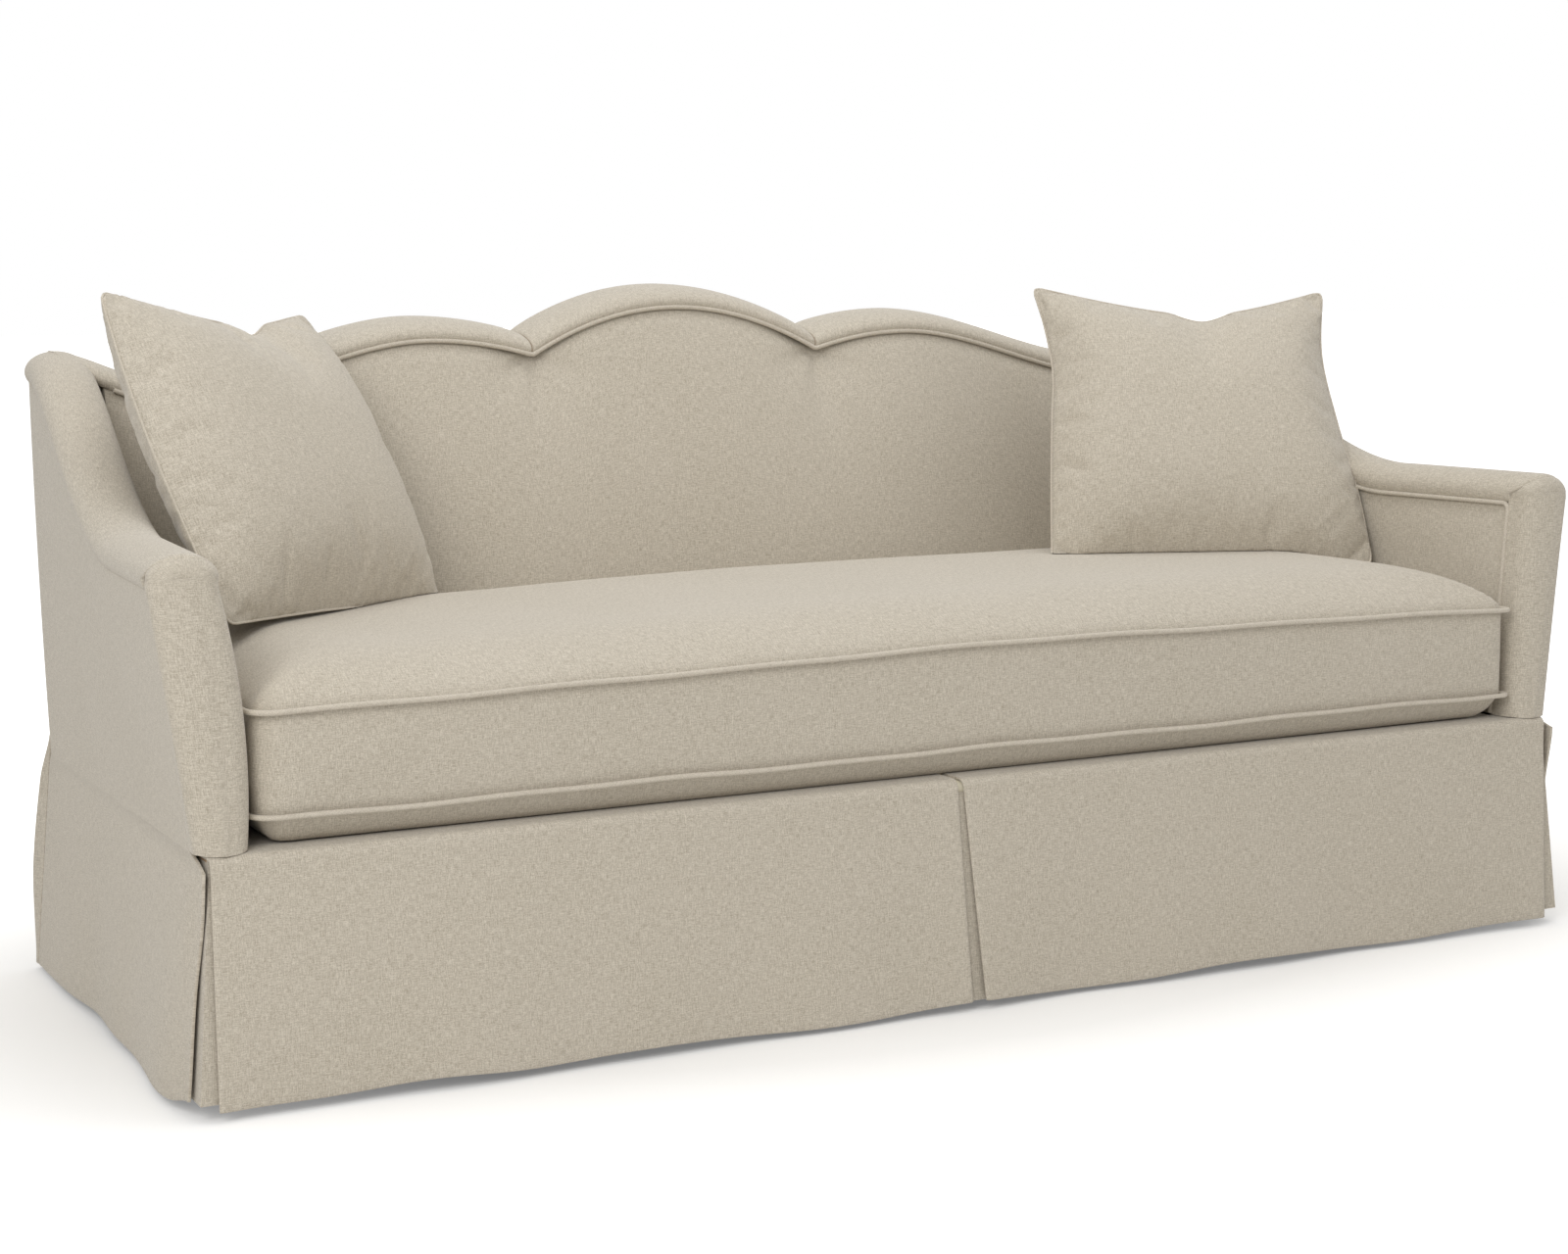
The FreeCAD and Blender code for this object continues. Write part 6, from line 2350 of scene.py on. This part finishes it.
@dataclass
class Deck:
    """Layers between the springs and the cushion, and the cloths under and behind the boards."""

    lines: SofaLines
    palette: Palette
    half: float = 0.9618
    front: float = -0.3980
    rear: float = 0.3098
    webs: int = 9
    web_field: float = 0.780
    web_width: float = 0.060
    web_low: float = 0.350
    web_high: float = 0.740
    web_inset: float = 0.0348
    web_length: float = 0.397
    leg_hole: float = 0.0275
    cloth_span: tuple[float, float] = (0.3062, 0.3079)
    pad_span: tuple[float, float] = (0.2860, 0.3058)
    felt_span: tuple[float, float] = (0.2818, 0.2856)
    pad_crown: float = 0.002
    dust_flat: tuple[float, float] = (1.926, 0.754)

    def layer(self, name: str, low: float, high: float, crown: float) -> bpy.types.Object:
        """A slab with soft edges and a faint crown.

        Args:
            name: The piece's name.
            low: Underside.
            high: Top.
            crown: How far the top dips away at its edges.

        Returns:
            The piece.
        """

        def top(u: float, v: float) -> Vector:
            """The slab's top.

            Args:
                u: Share across, from -1 to 1.
                v: Share front to rear, from -1 to 1.

            Returns:
                The point of the surface.
            """
            x, y = u * self.half, mix(self.front, self.rear, (v + 1) / 2)
            edge = min(self.half - abs(x), y - self.front, self.rear - y)
            drop = crown * (1 - clamp(edge / 0.02)) ** 2 + 0.0002 * (1 + math.sin(x * 60) * math.sin(y * 60))
            return Vector((x, y, high - drop))

        return Bench.cloth(name, top, spread(-1, 1, 141), spread(-1, 1, 61), UP, high - low - crown)

    def edge_roll(self) -> bpy.types.Object:
        """The firm roll under the skirt's waterfall edge.

        Returns:
            The piece.
        """
        low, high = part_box("front_edge_roll")

        def form(turn: float, x: float) -> Vector:
            """The roll's rounded square section.

            Args:
                turn: Share of a turn round it.
                x: Along the roll.

            Returns:
                The point of the surface.
            """
            angle = 2 * math.pi * turn
            ahead, up = (math.copysign(abs(part) ** 0.6, part) for part in (math.cos(angle), math.sin(angle)))
            y = (low[1] + high[1]) / 2 + (high[1] - low[1]) / 2 * ahead
            z = (low[2] + high[2]) / 2 + (high[2] - low[2]) / 2 * up
            return Vector((x, y, z))

        piece = Bench.skin("front_edge_roll_pad", form, spread(0, 1, 33), spread(low[0], high[0], 160))
        Bench.seal(piece)
        Bench.smooth(piece, 40)
        return piece

    def straps(self) -> bpy.types.Object:
        """Elastic webbing across the open back.

        Returns:
            The piece.
        """
        line = self.lines
        strips = []
        for middle in spread(-self.web_field, self.web_field, self.webs):

            def form(u: float, v: float) -> Vector:
                """One ribbed web.

                Args:
                    u: Share across the piece, its column.
                    v: Share along the piece, its row.

                Returns:
                    The point of the surface.
                """
                z = mix(self.web_low, self.web_high, v)
                ribs = 0.00012 * math.sin(u * math.pi * 12)
                return Vector((middle + self.web_width * (u - 0.5), line.rear(z) - self.web_inset + ribs, z))

            strip = Bench.skin("strap", form, spread(0, 1, 25), spread(0, 1, 12))
            Bench.face_towards(strip, FRONT)
            Bench.thicken(strip, 0.0017)
            strips.append(strip)
        piece = Bench.join("back_webbing_straps", strips, stitch=False)
        Bench.smooth(piece, 30)
        return piece

    def cambric(self) -> bpy.types.Object:
        """The dust cloth under the rails, cut out round the legs.

        Returns:
            The piece.
        """
        low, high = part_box("dust_cover")

        def form(u: float, v: float) -> Vector:
            """The dust cloth, sagging a little inside its edge.

            Args:
                u: Share across the piece, its column.
                v: Share along the piece, its row.

            Returns:
                The point of the surface.
            """
            x, y = mix(low[0], high[0], u), mix(low[1], high[1], v)
            edge = min(x - low[0], high[0] - x, y - low[1], high[1] - y)
            sag = 0.0035 * ease((edge - 0.03) / 0.12)
            return Vector((x, y, high[2] - 0.0002 - sag))

        piece = Bench.skin("dust_cloth", form, spread(0, 1, 121), spread(0, 1, 49))
        Bench.face_towards(piece, -UP)
        Bench.thicken(piece, 0.0009)
        cutters = []
        for node in ("leg_front_left", "leg_front_right", "leg_back_left", "leg_back_right"):
            foot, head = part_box(node)
            cutters.append(((foot[0] + head[0]) / 2, (foot[1] + head[1]) / 2))
        cutters += [(0.0, cutters[0][1]), (0.0, cutters[2][1])]
        for x, y in cutters:
            Bench.clear()
            place = (x, y, high[2])
            bpy.ops.mesh.primitive_cylinder_add(vertices=48, radius=self.leg_hole, depth=0.1, location=place)
            cutter = bpy.context.object
            Bench.modify(piece, "BOOLEAN", operation="DIFFERENCE", object=cutter, solver="EXACT")
            bpy.data.objects.remove(cutter, do_unlink=True)
        Bench.smooth(piece, 30)
        return piece

    def build(self) -> list[bpy.types.Object]:
        """Builds the layers and cloths.

        Returns:
            The pieces.
        """
        colours = self.palette
        whole = (2 * self.half, self.rear - self.front)
        webs = (self.webs * self.web_width, self.web_length)
        cloth = self.layer("deck_cover_cloth", *self.cloth_span, crown=0.0)
        pad = self.layer("deck_pad_fibre", *self.pad_span, crown=self.pad_crown)
        felt = self.layer("spring_felt", *self.felt_span, crown=0.0)
        rows = [
            (cloth, colours.deck, "deck_cover", Slot.DECK, whole, "stretched"),
            (pad, colours.wadding, "deck_pad", Slot.FIBRE, None, ""),
            (felt, colours.felt, "spring_insulator", Slot.FELT, whole, "laid"),
            (self.edge_roll(), colours.foam, "front_edge_roll", Slot.FOAM, None, ""),
            (self.straps(), colours.webbing, "back_webbing", Slot.WEBBING, webs, "stretched"),
            (self.cambric(), colours.cambric, "dust_cover", Slot.CAMBRIC, self.dust_flat, "stretched"),
        ]
        for piece, material, node, slot, flat, held in rows:
            dress(piece, material)
            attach(piece, "frame")
            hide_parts(node)
        return [row[0] for row in rows]


class FrameDress:
    """Finishes for the pieces that keep their own shape from the frame."""

    def __init__(self, palette: Palette) -> None:
        """Args: palette: The sofa's finishes."""
        self.palette = palette

    def build(self) -> list[bpy.types.Object]:
        """Gives each kept piece its finish.

        Returns:
            The kept pieces.
        """
        colours = self.palette
        sides = ("right", "left")
        nodes = {
            "across": ["arm_tack_rails", "back_top_rail", "back_tack_rail", "front_rail", "back_rail"],
            "upright": [f"{post}_post_{side}" for post in ("arm", "back") for side in sides],
            "deep": [f"{rail}_rail_{side}" for rail in ("side", "arm_top") for side in sides],
        }
        nodes["across"].append("corner_blocks")
        nodes["upright"].append("back_uprights")
        nodes["deep"].append("seat_stretchers")
        finish = {node: colours.boards[way] for way, names in nodes.items() for node in names}
        legs = [f"leg_{end}_{side}" for end in ("front", "back") for side in sides] + ["legs_centre"]
        finish.update({node: colours.leg_wood for node in legs})
        finish.update({node: colours.steel for node in ("leg_bolts", "spring_clips")})
        finish.update({"seat_springs": colours.spring, "leg_glides": colours.nylon})
        finish["zipper_slider"] = colours.brass
        pieces = []
        for node, material in finish.items():
            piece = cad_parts[node]
            if not piece.material_slots:
                piece.data.materials.append(material)
            for slot in piece.material_slots:
                slot.material = material
            pieces.append(piece)
        return pieces


@dataclass
class Studio:
    """Pale floor, soft lamps and the camera."""

    eye: tuple[float, float, float] = (-2.067, -3.7045, 1.004)
    yaw: float = math.radians(29.0)
    pitch: float = math.radians(7.319)
    tilt: float = math.radians(-0.254)
    lens: float = 68.535
    near_lift: float = 0.17
    far_lift: float = 0.80
    near_edge: float = 0.60
    far_edge: float = 1.50
    floor_colour: Colour = (0.80, 0.79, 0.77)
    world_light: float = 0.54
    lamps: tuple[tuple[str, tuple[float, float, float], float, float], ...] = (
        ("key", (-3.4, -3.2, 2.8), 2.4, 98),
        ("fill", (3.4, -2.8, 2.4), 2.4, 18),
        ("top", (0.2, 0.2, 3.6), 3.0, 46),
    )

    def floor(self) -> bpy.types.Object:
        """A white sweep that keeps the contact shadow.

        Returns:
            The floor.
        """
        Bench.clear()
        bpy.ops.mesh.primitive_plane_add(size=60, location=(0, 0, 0))
        floor = bpy.context.object
        floor.name = "studio_floor"
        material, nodes, shader = new_finish("studio_floor")
        shader.inputs["Base Color"].default_value = (*self.floor_colour, 1)
        shader.inputs["Roughness"].default_value = 1.0
        shader.inputs["Specular IOR Level"].default_value = 0.0
        shader.inputs["Emission Color"].default_value = (1, 1, 1, 1)
        path = nodes.add("ShaderNodeLightPath")
        spot = nodes.add("ShaderNodeMapping", Vector=nodes.add("ShaderNodeTexCoord").outputs["Object"])
        spot.inputs["Scale"].default_value = (0.62, 1.0, 1.0)
        away = nodes.add("ShaderNodeVectorMath", operation="LENGTH", i0=spot.outputs[0]).outputs["Value"]
        lift = nodes.ramp(away, self.near_edge, self.far_edge, self.near_lift, self.far_lift)
        glow = nodes.math("MULTIPLY", path.outputs["Is Camera Ray"], lift)
        nodes.feed(shader.inputs["Emission Strength"], glow)
        dress(floor, material)
        return floor

    def camera(self) -> bpy.types.Object:
        """The camera at the photograph's viewing angle.

        Returns:
            The camera.
        """
        data = bpy.data.cameras.new("studio_camera")
        data.lens = self.lens
        data.sensor_width = 36
        data.sensor_fit = "HORIZONTAL"
        camera = bpy.data.objects.new("studio_camera", data)
        bpy.context.scene.collection.objects.link(camera)
        level = math.cos(self.pitch)
        forward = Vector((math.sin(self.yaw) * level, math.cos(self.yaw) * level, -math.sin(self.pitch)))
        right = Vector((math.cos(self.yaw), -math.sin(self.yaw), 0))
        up = right.cross(forward)
        level_right = right * math.cos(self.tilt) + up * math.sin(self.tilt)
        level_up = -right * math.sin(self.tilt) + up * math.cos(self.tilt)
        turn = Matrix((level_right, level_up, -forward)).transposed().to_4x4()
        camera.matrix_world = Matrix.Translation(self.eye) @ turn
        bpy.context.scene.camera = camera
        return camera

    def lamp(self, name: str, spot: Sequence[float], size: float, power: float) -> bpy.types.Object:
        """A square soft box that looks at the sofa.

        Args:
            name: The lamp's name.
            spot: Its place.
            size: Its side.
            power: Its power in watts.

        Returns:
            The lamp.
        """
        data = bpy.data.lights.new(name, "AREA")
        data.shape = "SQUARE"
        data.size = size
        data.energy = power
        lamp = bpy.data.objects.new(name, data)
        bpy.context.scene.collection.objects.link(lamp)
        lamp.location = spot
        lamp.rotation_euler = (UP * 0.4 - Vector(spot)).to_track_quat("-Z", "Y").to_euler()
        return lamp

    def build(self) -> None:
        """Sets the floor, lamps, world and camera."""
        self.floor()
        for name, spot, size, power in self.lamps:
            self.lamp(name, spot, size, power)
        world = bpy.data.worlds.new("studio_world")
        bpy.context.scene.world = world
        world.use_nodes = True
        nodes = Nodes(world.node_tree)
        back = world.node_tree.nodes["Background"]
        path = nodes.add("ShaderNodeLightPath")
        seen = nodes.math("MAXIMUM", path.outputs["Is Camera Ray"], path.outputs["Is Glossy Ray"])
        seen = nodes.math("MAXIMUM", seen, path.outputs["Is Transmission Ray"])
        back.inputs["Color"].default_value = (1, 1, 1, 1)
        nodes.feed(back.inputs["Strength"], nodes.ramp(seen, 0, 1, self.world_light, 1.0))
        self.camera()
        bpy.context.scene.view_settings.view_transform = "Standard"


def main() -> None:
    """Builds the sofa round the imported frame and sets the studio."""
    logging.basicConfig(level=logging.INFO, format="%(name)s: %(message)s")
    lines, palette = SofaLines(), Palette()
    cushion = SeatCushion(lines, palette)
    sections = [
        Arm(lines, palette),
        Back(lines, palette),
        Skirt(lines, palette),
        cushion,
        ThrowPillow(
            lines,
            palette,
            cushion,
            side="right",
            gap=0.0420,
            y=-0.062,
            turn=math.radians(20.4),
            roll=math.radians(1.2),
            dent=0.035,
            near_side=((-1.0, 0.0), (-0.5, 0.010), (0.0, 0.022), (0.35, 0.031), (0.7, 0.025), (1.0, 0.012)),
            far_side=((-1.0, -0.014), (-0.5, -0.006), (0.0, 0.012), (0.5, 0.022), (1.0, 0.006)),
            tips=(0.005, 0.007),
            ear_drop=0.054,
            chop=0.011,
        ),
        ThrowPillow(
            lines,
            palette,
            cushion,
            side="left",
            gap=0.0996,
            y=-0.002,
            turn=math.radians(39.0),
            roll=math.radians(4.3),
            dent=0.070,
            near_side=((-1.0, -0.026), (-0.5, -0.028), (0.0, -0.024), (0.5, -0.008), (1.0, 0.018)),
            far_side=((-1.0, 0.0), (-0.4, -0.002), (0.2, 0.0), (0.7, 0.006), (1.0, 0.010)),
            tips=(0.010, 0.022),
            ear_drop=0.048,
        ),
        Deck(lines, palette),
        FrameDress(palette),
    ]
    for section in sections:
        for piece in section.build():
            LOG.info("%s: %d faces", piece.name, len(piece.data.polygons))
    Studio().build()


if __name__ == "__main__":
    main()
